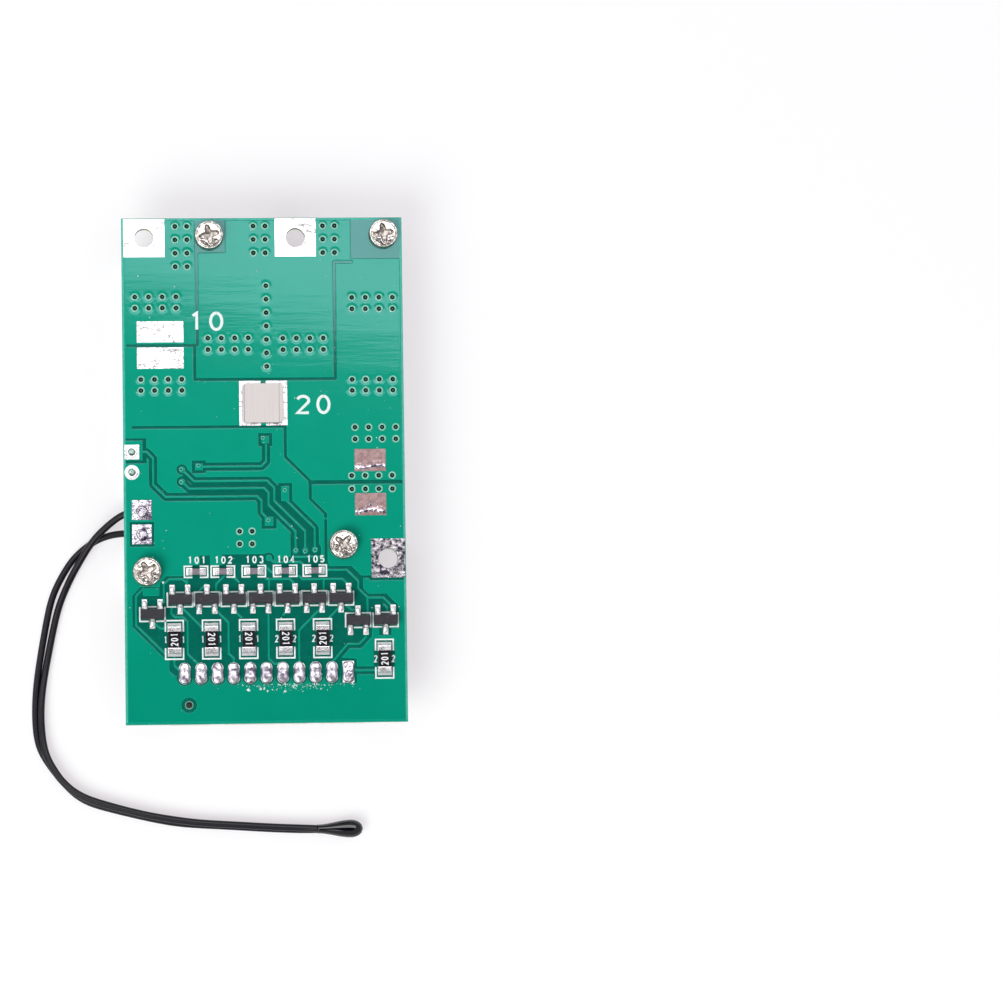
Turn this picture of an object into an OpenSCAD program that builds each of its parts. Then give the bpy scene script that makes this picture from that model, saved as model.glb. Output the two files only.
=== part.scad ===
// Battery management board: a protection circuit for a pack of cells in series.
// The solder side faces up. The heatsink plate underneath carries the board, and
// the sensor lead lies beside it. Origin: middle of the plate's resting face.

/* [Board] */
// Width of the circuit board, along X
board_w = 34.5; // [34:0.5:40]
// Length of the circuit board, along Y
board_l = 62.2; // [60.5:0.1:72]
// Thickness of the circuit board
board_t = 1.6; // [1:0.2:2]
// Step from the masked copper down to the bare laminate
copper_step = 0.05; // [0.03:0.01:0.08]
// Width of the bare rim along the board's edges
rim_w = 0.3; // [0.2:0.05:0.4]
// Width of a fine track
track_w = 0.22; // [0.15:0.01:0.26]
// Width of an isolation channel between copper areas
channel_w = 0.38; // [0.25:0.01:0.45]
// Thickness of a tinned land
land_t = 0.08; // [0.06:0.01:0.12]
// Thickness of the printed legend
legend_t = 0.03; // [0.02:0.01:0.05]

/* [Vias and wire holes] */
// Diameter of the hole inside a plated via
via_bore = 0.5; // [0.3:0.05:0.55]
// Wall of the plated barrel
via_wall = 0.05; // [0.03:0.01:0.08]
// Diameter of the ring around a via
via_ring = 0.96; // [0.8:0.02:1.1]
// Diameter of the holes for the battery and load wires
wire_hole = 2.4; // [1.8:0.1:3]
// Width of a wire pad
wire_pad_w = 5.05; // [4.4:0.05:5.4]
// Length of a wire pad
wire_pad_l = 4.7; // [4.4:0.05:5]

/* [Small parts] */
// Length of a three-leg transistor's body
sot_l = 2.9; // [2.6:0.1:3]
// Width of a three-leg transistor's body
sot_w = 1.3; // [1.1:0.05:1.4]
// Height of a three-leg transistor's body
sot_h = 1; // [0.8:0.05:1.2]
// Distance between the two legs on one side
sot_leg_gap = 1.9; // [1.7:0.05:2]
// Spacing of the transistors in their row
sot_pitch = 3.285; // [3.24:0.005:3.4]
// Length of a small chip resistor
chip_l = 1.6; // [1.4:0.05:1.8]
// Width of a small chip resistor
chip_w = 0.8; // [0.6:0.05:0.9]
// Height of a small chip resistor
chip_h = 0.45; // [0.3:0.05:0.6]
// Length of a balance resistor
load_l = 3.2; // [3:0.05:3.4]
// Width of a balance resistor
load_w = 1.6; // [1.4:0.05:1.7]
// Height of a balance resistor
load_h = 0.55; // [0.4:0.05:0.8]
// Spacing of the balance resistors in their row
load_pitch = 4.53; // [4.4:0.01:4.6]

/* [Header] */
// Number of pins in the header
pins = 11; // [9:1:11]
// Distance between two pins
pin_pitch = 2; // [1.9:0.05:2]
// Side of a square pin
pin_w = 0.5; // [0.4:0.05:0.55]
// Height of the header below the board
header_h = 4.8; // [4.4:0.1:5.6]
// Depth of the header's housing, from its mouth to its back
header_d = 5.4; // [5:0.1:5.6]
// Wall of the header's housing
header_wall = 0.8; // [0.6:0.05:1]

/* [Heatsink] */
// Thickness of the heatsink plate
plate_t = 3.5; // [3:0.1:5]
// Thickness of the thermal pad
pad_t = 0.5; // [0.3:0.1:1]
// Height of a power transistor
power_h = 2.3; // [2:0.1:2.6]
// Thread diameter of the clamping screws
screw_d = 2; // [1.6:0.1:2.2]
// Diameter of a screw's head
head_d = 3.6; // [3.2:0.1:4]
// Height of a screw's head
head_h = 1.5; // [1.2:0.1:1.8]
// Length of a screw below its head
screw_l = 6; // [5:0.5:7]

/* [Sensor lead] */
// Diameter of one insulated conductor
lead_d = 0.88; // [0.8:0.02:0.9]
// Diameter of the sensor bead
bead_d = 2.25; // [2:0.05:2.4]
// Length of the sensor bead
bead_l = 5.65; // [5:0.05:7]

/* [Hidden] */

$fn = 48;
eps = 0.01;

// Clearances between pieces that fit each other
screw_fit = 0.01;
screw_hole_play = 0.2;
pin_fit = 0.02;
pin_hole_play = 0.08;

// Heights of the stack, from the plate's resting face
z_pad = plate_t;
z_power = plate_t + pad_t;
z_board = z_power + power_h;
z_top = z_board + board_t;
z_bare = z_top - copper_step;
z_land = z_bare + land_t;

// Places measured from the board's edges
function left(d) = -board_w / 2 + d;
function right(d) = board_w / 2 - d;
function low(d) = -board_l / 2 + d;
function high(d) = board_l / 2 - d;

// Rows of small parts, by their distance from the lower edge
sot_row = 15.27;
chip_row = 18.65;
load_row = 10.35;
joint_row = 6.2;

// Each transistor: centre, and 1 where its pair of legs points up, -1 where down
sots = concat(
    [[-13.88, low(13.53), 1]],
    [for (i = [0:6]) [-10.5 + i * sot_pitch, low(sot_row), i % 2 == 0 ? 1 : -1]],
    [[right(5.98), low(12.5), -1], [right(2.6), low(12.55), 1]]);
chips = [for (x = [-8.5, -5.23, -1.44, 2.4, 6.04]) [x, low(chip_row)]];
loads = concat(
    [for (i = [0:4]) [-11.22 + i * load_pitch, low(load_row)]],
    [[right(2.79), low(7.75)]]);
joints = [for (i = [0:pins - 1]) [(i - (pins - 1) / 2) * pin_pitch, low(joint_row)]];

// Lands under the small parts
leg_w = 0.42;
leg_reach = 0.55;
leg_t = 0.14;
sot_land_w = 0.64;
sot_land_l = 1.15;
sot_stand = 0.1;
chip_land_l = 0.75;
chip_cap = 0.32;
load_land_l = 1.1;
load_cap = 0.6;
cap_t = 0.03;

// Wire pads: centre, size and hole
pad_edge = 0.1;
wire_pads = [
    [left(0.25) + wire_pad_w / 2, high(pad_edge) - wire_pad_l / 2, wire_pad_w, wire_pad_l],
    [4.12, high(pad_edge) - wire_pad_l / 2, wire_pad_w, wire_pad_l],
    [right(pad_edge) - 2.07, low(20.1), 4.15, wire_pad_l + 0.1]];

// Sensor lead lands: the upper and the lower
lead_land = 2.45;
lead_lands = [[left(2.2), low(26.3)], [left(2.2), low(23.3)]];
lead_holes = [lead_lands[0] + [0, -0.2], lead_lands[1]];
strand_d = 0.5;

// Test lands by the left edge, and the ringed via
test_lands = [[left(1.05), low(33.4)], [left(1.05), low(30.9)]];
test_land = 1.8;
test_hole = 0.9;
ring_via = [-9.5, low(2.35)];

// Jumper lands on the left, the two lands under the link in the middle, two solder lands
jumper_land = [5.7, 2.6];
jumper_gap = 0.63;
jumper_y = 13.85;
link_land = [2.62, 5.5];
link_gap = 0.65;
link_y = 8.2;
solder_land = [3.85, 2.72];

// Clamping screws
screws = [[left(10.75), high(2.2)], [right(2.3), high(2.1)], [right(7.67), low(21.8)],
    [left(2.79), low(18.7)]];
boss_d = 4;

// Via groups: first via, step along X and Y, count along X and Y
via_step = 1.66;
via_groups = [
    [[left(6.59), high(1)], [1.46, -via_step], [2, 4]],
    [[-1.05, high(1)], [1.46, -via_step], [2, 3]],
    [[7.5, high(1)], [1.46, -via_step], [2, 3]],
    [[left(1.6), 21.4], [1.68, -1.38], [4, 2]],
    [[right(6.25), 21.2], [1.67, -1.42], [4, 2]],
    [[0.44, 22.7], [0, -via_step], [1, 7]],
    [[-6.75, 16.28], [1.65, -1.42], [4, 2]],
    [[2.46, 16.2], [1.66, -1.42], [4, 2]],
    [[left(2.25), 11.22], [1.67, -1.36], [4, 2]],
    [[right(6.33), 11.06], [1.67, -1.36], [4, 2]],
    [[right(6.05), low(36.25)], [1.67, -1.46], [4, 2]],
    [[right(6.53), low(30.3)], [via_step, -via_step], [4, 2]],
    [[-3.12, low(23.56)], [1.54, -1.55], [2, 2]]];
vias = [for (g = via_groups, i = [0:g[2][0] - 1], j = [0:g[2][1] - 1])
    g[0] + [g[1][0] * i, g[1][1] * j]];

// Fine tracks across the copper areas, each in a band of bare laminate
band_w = track_w + 0.82;
function from_low(points) = [for (p = points) [p[0], low(p[1])]];
sense_track = from_low([[left(1.05), 33.4], [-14.4, 33.4], [-13.62, 32.62], [-13.62, 29.37],
    [-12.1, 27.85], [-0.95, 27.85], [-0.4, 27.3], [-0.4, 25.8], [0.2, 25.2]]);
upper_track = from_low([[-10.1, 31.2], [-8.65, 29.75], [0.32, 29.75], [1.17, 28.9], [1.17, 27.25],
    [4.9, 23.52], [4.9, 21.1]]);
lower_track = from_low([[-10.1, 29.7], [-9.25, 28.85], [-0.08, 28.85], [0.47, 28.3], [0.47, 26.75],
    [3.72, 23.5], [3.72, 21.1]]);
gate_track = from_low([[2.55, 27.4], [6.08, 23.87], [6.08, 21.2]]);
clamp_track = from_low([[-8.05, 31.53], [-0.35, 31.53], [0.22, 32.1], [0.22, 34.8]]);
banded_tracks = [sense_track, upper_track, lower_track, gate_track, clamp_track];
via_spots = from_low([[-10.1, 31.2], [-10.1, 29.7]]);
box_spots = from_low([[3.72, 21.1], [4.9, 21.1], [6.08, 21.2]]);
spot_d = 0.74;
// Copper islands at the ends of those tracks: centre and size
islands = [[-8.02, low(31.52), 0.9, 0.8], [0.14, low(34.8), 0.9, 0.85],
    [0.5, low(24.75), 1.05, 1.05], [2.52, low(28.15), 0.95, 1.8]];
island_gap = 0.4;
// Bare areas between neighbouring tracks, along their middle lines
track_gaps = [
    from_low([[-3, 28.85], [-0.08, 28.85], [0.47, 28.3], [0.47, 26.75], [1.5, 25.72], [0.5, 25.2],
        [0.2, 25.2], [-0.4, 25.8], [-0.4, 27.3], [-0.95, 27.85], [-3, 27.85]]),
    from_low([[1.17, 28.5], [0.47, 28], [0.47, 26.75], [3.72, 23.5], [3.72, 21.6], [4.9, 21.6],
        [4.9, 23.52], [1.17, 27.25]]),
    from_low([[2.3, 28], [1.17, 28.3], [1.17, 27.25], [4.9, 23.52], [4.9, 21.6], [6.08, 21.6],
        [6.08, 23.87], [2.55, 27.4]])];

// Isolation channels between the large copper areas
channels = [
    [[-8.05, high(4.3)], [-8.05, 15.38]],
    [[left(0.65), 15.38], [-8.05, 15.38]],
    [[-8.4, 15.38], [-8.4, 11.16], [8.85, 11.16], [8.85, high(5.5)], [right(6.25), high(5.5)]],
    from_low([[left(1.2), 36.42], [2.6, 36.42], [2.6, 32.65], [5.7, 29.55]]),
    from_low([[5.6, 29.5], [5.6, 27.45], [7.45, 25.6], [7.45, 25.2]]),
    from_low([[7.45, 24.8], [7.45, 19.5]])];
wide_channel = from_low([[5.6, 29.5], [right(0), 29.5]]);

// Tracks of the small-signal corner, measured from the middle of the lower edge
small_tracks = [
    [[-9.6, 17.2], [-10.15, 17.75], [-11.85, 17.75], [-12.45, 17.15], [-12.45, 15]],
    [[-15, 16.6], [-15.85, 15.75], [-15.85, 12.15], [-12.4, 8.7]],
    [[-11.25, 8.3], [-11.25, 7.2], [-10.5, 6.45]],
    [[10.4, 6.35], [14, 6.35]],
    [[7, 18.7], [9.95, 18.7], [11.35, 17.3], [11.35, 16.4], [12.5, 15.25], [14.4, 15.25], [15.6, 14.05]],
    [[12.45, 15.25], [12.45, 13.2]],
    [[4.1, 18], [4.5, 17.6], [9.4, 17.6], [10, 17]],
    [[7.1, 17.6], [7.1, 16]],
    [[0.05, 17.65], [2.95, 17.65], [3.5, 17.1]],
    [[0.4, 17.65], [0.4, 16]],
    [[0.42, 20.3], [1, 19.72], [4.3, 19.72], [5, 19.02]],
    [[-0.4, 19.6], [0.65, 18.55], [1.2, 18.55]],
    [[-5.05, 18.1], [-6.05, 17.1], [-6.05, 16]],
    [[-3.95, 18], [-3.3, 17.35]],
    [[-9.2, 18.1], [-9.6, 17.7], [-9.6, 17.2]],
    [[-7.3, 17.1], [-8.1, 16.3]],
    [[-6.2, 14], [-4.6, 12.4], [-4.6, 8.6], [-4, 8], [-4, 7.2]],
    [[-10.3, 14.3], [-7.6, 11.6]],
    [[-11.55, 14.3], [-11.55, 13.55], [-11.1, 13.1], [-10.15, 13.1], [-9.6, 12.55], [-9.6, 8.6],
        [-8, 7]],
    [[-13.8, 12.6], [-12.95, 11.75], [-12, 11.75]],
    [[-3.9, 13.9], [-3, 13]],
    [[0.3, 14], [0.3, 7.9], [0.9, 7.3], [1.8, 7.3]],
    [[2.65, 13.8], [2.1, 13.25]],
    [[6.9, 14.2], [4.03, 11.33], [4.03, 7.2]],
    [[9, 14.1], [7.4, 12.5]],
    [[9.8, 14.4], [10.45, 13.75], [11.2, 13.75]],
    [[14.45, 14.4], [14.85, 14], [14.85, 13.4]],
    [[14.65, 11.5], [14.65, 9.8]],
    [[8, 7.3], [9.95, 9.6], [11.4, 9.6], [12.2, 10.4], [12.2, 11.4]],
    [[3.4, 20.35], [6.6, 20.35]]];
// Bare area of the small-signal corner
bare_area = [[-12.15, 18.15], [-10, 18.15], [-10, 19.45], [-8.05, 19.45], [-8.05, 20.65],
    [-6.75, 20.65], [-6.75, 19.45], [-5.3, 19.45], [-5.3, 20.75], [-0.1, 20.75], [-0.1, 19.9],
    [1.3, 19.9], [3.1, 20.4], [3.1, 23.2], [6.6, 23.2], [6.6, 21.9], [6.85, 21.6], [6.85, 19.8],
    [7.68, 19.75], [7.75, 19.2], [10.55, 19.2], [11.75, 18], [13.05, 18], [13.05, 17.72],
    [board_w / 2, 17.72], [board_w / 2, 17.36], [12.9, 17.36], [12.6, 17.65], [11.95, 17.65],
    [11.95, 16.4], [12.6, 15.75], [14.8, 15.75], [16.35, 14.2], [16.35, 11.5], [15.35, 11.5],
    [15.35, 10.6], [13.85, 10.6], [13.85, 11.5], [13, 11.5], [12.95, 10.45], [11.6, 9.05],
    [10.2, 9.05], [9.2, 7.95], [11.05, 7.8], [11.05, 6.85], [13.3, 6.85], [13.3, 5.85],
    [11.05, 5.85], [11.05, 4.8], [9, 4.8], [9, 5.75], [-10.4, 5.75], [-11.2, 5.95], [-11.85, 6.5],
    [-11.85, 7.9], [-12.55, 8.2], [-16.3, 11.95], [-16.3, 15.8], [-15.3, 16.85], [-12.9, 16.85],
    [-12.9, 17.35]];
small_island = [-14, 16.25, 2, 0.95];
open_spot = [0.42, 20.25];

// Points of the two conductors, by hand: each runs down from its land, out past the board's
// edge and round to the bead. The second lies on the first from the bend onwards.
route_a = [[-15.05, -7.8, z_board], [-15.15, -7.75, 5.2], [-15.7, -7.6, 4.1], [-16.7, -7.4, 3.3],
    [-18, -7.4, 2.5], [-19.5, -7.65, 1.6], [-21.05, -8.3, 0.8], [-22.4, -9.3, 0.46],
    [-23.65, -10.5, 0.44], [-24.85, -12.35, 0.44], [-25.85, -14.3, 0.44], [-26.5, -16.3, 0.44],
    [-27.1, -19.3, 0.44], [-27.8, -23.3, 0.44], [-28.2, -26.3, 0.44], [-28.35, -29.2, 0.44],
    [-28.2, -32.2, 0.44], [-27.6, -34.2, 0.44], [-26.6, -35.8, 0.44], [-25.5, -37.3, 0.44],
    [-24.5, -38.4, 0.44], [-22.6, -40.15, 0.44], [-19.7, -41.1, 0.44], [-16.7, -41.9, 0.44],
    [-13.75, -42.6, 0.44], [-10.8, -43.15, 0.44], [-7.8, -43.4, 0.44], [-3.85, -43.65, 0.44],
    [0.1, -43.95, 0.44], [4.1, -44.15, 0.46], [6.25, -44.15, 0.68]];
route_b = [[-15.05, -5, z_board], [-15.15, -4.95, 5.2], [-15.7, -4.85, 4.2], [-16.7, -4.85, 3.5],
    [-17.95, -5.4, 3], [-19.3, -6.45, 2.6], [-20.5, -7.55, 2.2], [-21.5, -8.8, 1.75],
    [-22.55, -10.45, 1.2], [-23.75, -12.5, 0.6], [-24.6, -14.35, 0.44], [-25.4, -16.35, 0.44],
    [-26.1, -19.3, 0.44], [-26.9, -23.3, 0.5], [-27.4, -26.25, 0.74], [-27.65, -29.25, 0.94],
    [-27.5, -32.2, 0.99], [-27.1, -34.3, 1.19], [-26.4, -35.8, 1.32], [-25.5, -37.2, 1.36],
    [-24.55, -38.3, 1.35], [-22.7, -39.7, 1.27], [-19.75, -40.7, 1.27], [-16.8, -41.55, 1.28],
    [-13.8, -42.25, 1.28], [-10.85, -42.75, 1.28], [-7.9, -43.15, 1.3], [-3.95, -43.4, 1.31],
    [0.05, -43.7, 1.31], [4, -43.9, 1.33], [6.25, -44, 1.58]];
bead_place = [6.25, -44.08, bead_d / 2 + eps];

// --- flat shapes -----------------------------------------------------------------

// A straight run of constant width from a to b
module run(a, b, w) {
    d = b - a;
    translate(a) rotate(atan2(d[1], d[0])) translate([0, -w / 2]) square([norm(d), w]);
}

// A path of constant width, with an eight-sided corner piece just inside its width at each bend
module path(points, w) {
    for (i = [1:len(points) - 1]) run(points[i - 1], points[i], w);
    for (p = points) translate(p) rotate(22.5) circle(d = w, $fn = 8);
}

module block(centre, size) {
    translate(centre) square(size, center = true);
}

// Bare laminate of the whole face before the copper islands and tracks are added back
module bare_plan() {
    difference() {
        square([board_w + 1, board_l + 1], center = true);
        square([board_w - 2 * rim_w, board_l - 2 * rim_w], center = true);
    }
    for (c = channels) path(c, channel_w);
    path(wide_channel, channel_w + 0.14);
    for (t = banded_tracks) path(t, band_w);
    for (g = track_gaps) polygon(g);
    for (i = islands) block([i[0], i[1]], [i[2] + 2 * island_gap, i[3] + 2 * island_gap]);
    for (v = via_spots) translate(v) circle(d = spot_d + 0.62, $fn = 12);
    // clear squares around the two upper screws
    block(screws[0] + [0.1, -0.1], [head_d + 0.2, head_d + 0.4]);
    translate([right(6.35), high(5.1)]) square([7, 6]);
    // rings around the upper test land, the lower lead land and the ringed via
    block(test_lands[0] + [0.3, 0.15], [test_land + 1.2, test_land + 1.3]);
    block(lead_lands[1], [lead_land + 0.55, lead_land + 0.6]);
    translate(ring_via) circle(d = 1.95, $fn = 12);
    translate([0, low(0)]) {
        polygon(bare_area);
        translate(open_spot) circle(d = 1.4, $fn = 12);
    }
    block(loads[5], [load_w + 1, load_l + 1.7]);
    for (j = joints) translate(j) {
        circle(d = 2.02, $fn = 12);
        translate([0, -0.5]) circle(d = 2.02, $fn = 12);
    }
}

// Copper left standing inside the bare areas
module island_plan() {
    for (t = banded_tracks) path(t, track_w);
    for (i = islands) block([i[0], i[1]], [i[2], i[3]]);
    for (v = concat(via_spots, box_spots)) translate(v) circle(d = spot_d, $fn = 12);
    block(test_lands[0] + [0.2, 0.2], [test_land + 0.4, test_land + 0.6]);
    translate([0, low(0)]) {
        for (t = small_tracks) path(t, track_w);
        translate(open_spot) circle(d = spot_d, $fn = 12);
        block([small_island[0], small_island[1]], [small_island[2], small_island[3]]);
    }
}

module sot_lands_plan() {
    for (s = sots) translate([s[0], s[1]]) {
        reach = s[2] * (sot_w + sot_land_l) / 2;
        for (x = [-1, 1]) block([x * sot_leg_gap / 2, reach], [sot_land_w, sot_land_l]);
        block([0, -reach], [sot_land_w, sot_land_l]);
    }
}

module chip_lands_plan() {
    for (c = chips, s = [-1, 1])
        block(c + [s * (chip_l / 2 + 0.03), 0], [chip_land_l, chip_w + 0.1]);
    for (c = loads, s = [-1, 1])
        block(c + [0, s * (load_l / 2 - 0.1)], [load_w + 0.08, load_land_l]);
}

module test_lands_plan() {
    block(test_lands[0], [test_land, test_land]);
    translate(test_lands[1]) circle(d = test_land);
}

module wire_pad_plan(n) {
    block([wire_pads[n][0], wire_pads[n][1]], [wire_pads[n][2], wire_pads[n][3]]);
}

module jumper_plan() {
    for (s = [0, 1]) block([left(4.65), jumper_y + s * (jumper_land[1] + jumper_gap)], jumper_land);
    for (s = [-1, 1]) block([s * (link_land[0] + link_gap) / 2 - 0.04, link_y], link_land);
}

module solder_pads_plan() {
    for (y = [32.2, 26.75]) block([right(4.25), low(y)], solder_land);
}

module joint_land_plan() {
    for (j = joints) {
        block(j, [1.42, 1.2]);
        for (s = [-1, 1]) translate(j + [0, s * 0.6]) circle(d = 1.42, $fn = 32);
    }
}

module lead_lands_plan() {
    for (l = lead_lands) block(l, [lead_land, lead_land]);
}

module all_lands_plan() {
    sot_lands_plan();
    chip_lands_plan();
    test_lands_plan();
    for (n = [0:2]) wire_pad_plan(n);
    jumper_plan();
    solder_pads_plan();
    joint_land_plan();
    lead_lands_plan();
}

// The recess in the board's face: bare laminate less the islands, and every land's seat
module recess_plan() {
    difference() {
        bare_plan();
        island_plan();
    }
    all_lands_plan();
}

// --- legend ----------------------------------------------------------------------

legend_w = 0.15;
// Bars of each figure: top, upper right, lower right, bottom, lower left, upper left, middle
FIGURES = [[1, 1, 1, 1, 1, 1, 0], [0, 1, 1, 0, 0, 0, 0], [1, 1, 0, 1, 1, 0, 1],
    [1, 1, 1, 1, 0, 0, 1], [0, 1, 1, 0, 0, 1, 1], [1, 0, 1, 1, 0, 1, 1]];

module figure(n, w, h, t) {
    bars = FIGURES[n];
    for (k = [0, 3, 6]) if (bars[k]) block([0, (k == 0 ? 1 : k == 3 ? -1 : 0) * (h - t) / 2], [w, t]);
    if (bars[1]) block([(w - t) / 2, h / 4], [t, h / 2]);
    if (bars[2]) block([(w - t) / 2, -h / 4], [t, h / 2]);
    if (bars[4]) block([-(w - t) / 2, -h / 4], [t, h / 2]);
    if (bars[5]) block([-(w - t) / 2, h / 4], [t, h / 2]);
}

// A row of figures, spaced evenly about its middle
module number(list, w, h, t, gap) {
    for (i = [0:len(list) - 1])
        translate([(i - (len(list) - 1) / 2) * (w + gap), 0]) figure(list[i], w, h, t);
}

// Two facing square brackets, open towards each other along X
module brackets(l, w, open) {
    for (s = [-1, 1]) {
        block([s * (l - legend_w) / 2, 0], [legend_w, w]);
        for (t = [-1, 1])
            block([s * (l + open) / 4, t * (w - legend_w) / 2], [(l - open) / 2, legend_w]);
    }
}

module sot_outline(dir) {
    l = sot_l + 0.22;
    w = sot_w + 0.46;
    half = sot_w / 2 + 0.18;
    for (s = [-1, 1]) block([s * (l - legend_w) / 2, 0], [legend_w, w]);
    block([0, dir * half], [sot_leg_gap - 0.9, legend_w]);
    for (s = [-1, 1])
        block([s * (l / 2 + 0.42) / 2, -dir * half], [l / 2 - 0.42, legend_w]);
}

module legend_plan() {
    for (s = sots) translate([s[0], s[1]]) sot_outline(s[2]);
    for (i = [0:4]) translate(chips[i]) {
        brackets(3, 1.5, 0.9);
        translate([0.1, 1.4]) number([1, 0, i + 1], 0.48, 0.86, 0.14, 0.32);
    }
    for (i = [0:5]) translate(loads[i]) {
        rotate(90) brackets(4.87, 2.34, 2);
        for (s = [-1, 1]) translate([s * (load_w / 2 + 0.25), 0.1]) figure(i > 2 ? 2 : 1, 0.42, 0.9, 0.13);
    }
    translate([-6.95, 18.35]) number([1, 0], 1.5, 2.2, 0.26, 0.95);
    translate([6.1, 8]) number([2, 0], 1.5, 2.2, 0.26, 0.95);
}

// --- pieces ----------------------------------------------------------------------

module circuit_board() {
    color("#0f9a7c") difference() {
        translate([0, 0, z_board]) linear_extrude(board_t)
            square([board_w, board_l], center = true);
        translate([0, 0, z_bare]) linear_extrude(copper_step + 1) recess_plan();
        for (v = vias) translate([v[0], v[1], z_board - 1])
            cylinder(d = via_bore + 2 * via_wall, h = board_t + 2, $fn = 24);
        for (p = wire_pads) translate([p[0], p[1], z_board - 1])
            cylinder(d = wire_hole, h = board_t + 2);
        for (s = screws) translate([s[0], s[1], z_board - 1])
            cylinder(d = screw_d + screw_hole_play, h = board_t + 2);
        for (j = joints) translate([j[0], j[1], z_board - 1])
            cylinder(d = pin_w * sqrt(2) + 2 * pin_hole_play, h = board_t + 2, $fn = 24);
        for (l = lead_holes) translate([l[0], l[1], z_board - 1])
            cylinder(d = strand_d, h = board_t + 2, $fn = 24);
        for (t = test_lands) translate([t[0], t[1], z_board - 1])
            cylinder(d = test_hole, h = board_t + 2, $fn = 32);
        translate([ring_via[0], ring_via[1], z_board - 1])
            cylinder(d = 0.8, h = board_t + 2, $fn = 24);
    }
}

// Barrel and top ring of one plated hole
module plated_barrel(bore, wall, ring, z_seat) {
    rotate_extrude($fn = 24) polygon([[bore / 2, z_board], [bore / 2 + wall, z_board],
        [bore / 2 + wall, z_seat], [ring / 2, z_seat], [ring / 2, z_seat + legend_t],
        [bore / 2, z_seat + legend_t]]);
}

module via_plating() {
    color("#cfd3c8") {
        for (v = vias) translate([v[0], v[1], 0])
            plated_barrel(via_bore, via_wall, via_ring, z_top);
        translate([ring_via[0], ring_via[1], 0])
            plated_barrel(0.8 - 2 * via_wall, via_wall, 1.08, z_bare);
    }
}

module wire_pad(n) {
    color("#e8e8e6") translate([0, 0, z_bare]) linear_extrude(land_t) difference() {
        wire_pad_plan(n);
        translate([wire_pads[n][0], wire_pads[n][1]]) circle(d = wire_hole);
    }
}

module jumper_pads() {
    color("#f0f0ee") translate([0, 0, z_bare]) linear_extrude(land_t) jumper_plan();
}

module solder_pads() {
    color("#b98f8c") translate([0, 0, z_bare]) linear_extrude(land_t) solder_pads_plan();
}

// A wedge of solder from a land's outer end up to the part's cap
module fillet(w, reach, h) {
    rotate([90, 0, 90]) translate([0, 0, -w / 2]) linear_extrude(w)
        polygon([[0, 0], [reach, 0], [reach, 0.05], [reach * 0.4, h * 0.45], [0, h]]);
}

module component_lands() {
    color("#e4e4e0") {
        translate([0, 0, z_bare]) linear_extrude(land_t) {
            sot_lands_plan();
            chip_lands_plan();
            difference() {
                test_lands_plan();
                for (t = test_lands) translate(t) circle(d = test_hole);
            }
        }
        for (c = chips, s = [-1, 1])
            translate([c[0] + s * chip_l / 2, c[1], z_land]) rotate(s > 0 ? -90 : 90)
                fillet(chip_w, chip_land_l / 2, chip_h * 0.8);
        for (c = loads, s = [-1, 1])
            translate([c[0], c[1] + s * load_l / 2, z_land]) rotate(s > 0 ? 0 : 180)
                fillet(load_w, load_land_l / 2 - 0.12, load_h * 0.8);
    }
}

// A stamped link with rounded corners and a dished middle, soldered across two lands
module bridge_plate() {
    w = 2 * link_land[0] + link_gap - 0.84;
    l = link_land[1] - 0.65;
    r = 0.55;
    t = 0.5;
    color("#d9d2cf") translate([-0.1, link_y, z_land]) difference() {
        linear_extrude(t) {
            square([w, l - 2 * r], center = true);
            square([w - 2 * r, l], center = true);
            for (x = [-1, 1], y = [-1, 1])
                translate([x * (w / 2 - r), y * (l / 2 - r)]) circle(r = r);
        }
        translate([-0.15, 0, t - 0.06]) linear_extrude(1) square([w - 0.75, l + 1], center = true);
    }
}

// Solder over one pin: a round-ended hump standing on its land
module solder_hump(w, l, h) {
    r = (w * w / 4 + h * h) / (2 * h);
    intersection() {
        translate([0, 0, h - r]) {
            rotate([90, 0, 0]) cylinder(r = r, h = l - w, center = true);
            for (s = [-1, 1]) translate([0, s * (l - w) / 2, 0]) sphere(r = r);
        }
        translate([-w, -l, 0]) cube([2 * w, 2 * l, h + 1]);
    }
}

module header_joints() {
    color("#dcdcdc") {
        translate([0, 0, z_bare]) linear_extrude(land_t) joint_land_plan();
        for (j = joints) translate([j[0], j[1], z_land]) solder_hump(1.36, 2.5, 0.42);
    }
}

// Land, solder dome and the bare strand that comes up through the board
module lead_joints() {
    color("#d2d0d2") {
        translate([0, 0, z_bare]) linear_extrude(land_t) lead_lands_plan();
        for (l = lead_holes) translate([l[0], l[1], 0]) {
            translate([0, 0, z_board]) cylinder(d = strand_d, h = z_bare - z_board + eps, $fn = 24);
            translate([0, 0, z_land]) intersection() {
                translate([0, 0, -0.35]) sphere(d = 1.7);
                translate([-1, -1, 0]) cube(2);
            }
        }
    }
}

// The legend follows the step between masked copper and bare laminate
module printed_legend() {
    color("white") {
        translate([0, 0, z_bare]) linear_extrude(legend_t) intersection() {
            legend_plan();
            difference() {
                bare_plan();
                island_plan();
                all_lands_plan();
            }
        }
        translate([0, 0, z_top]) linear_extrude(legend_t) difference() {
            legend_plan();
            recess_plan();
        }
    }
}

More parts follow.
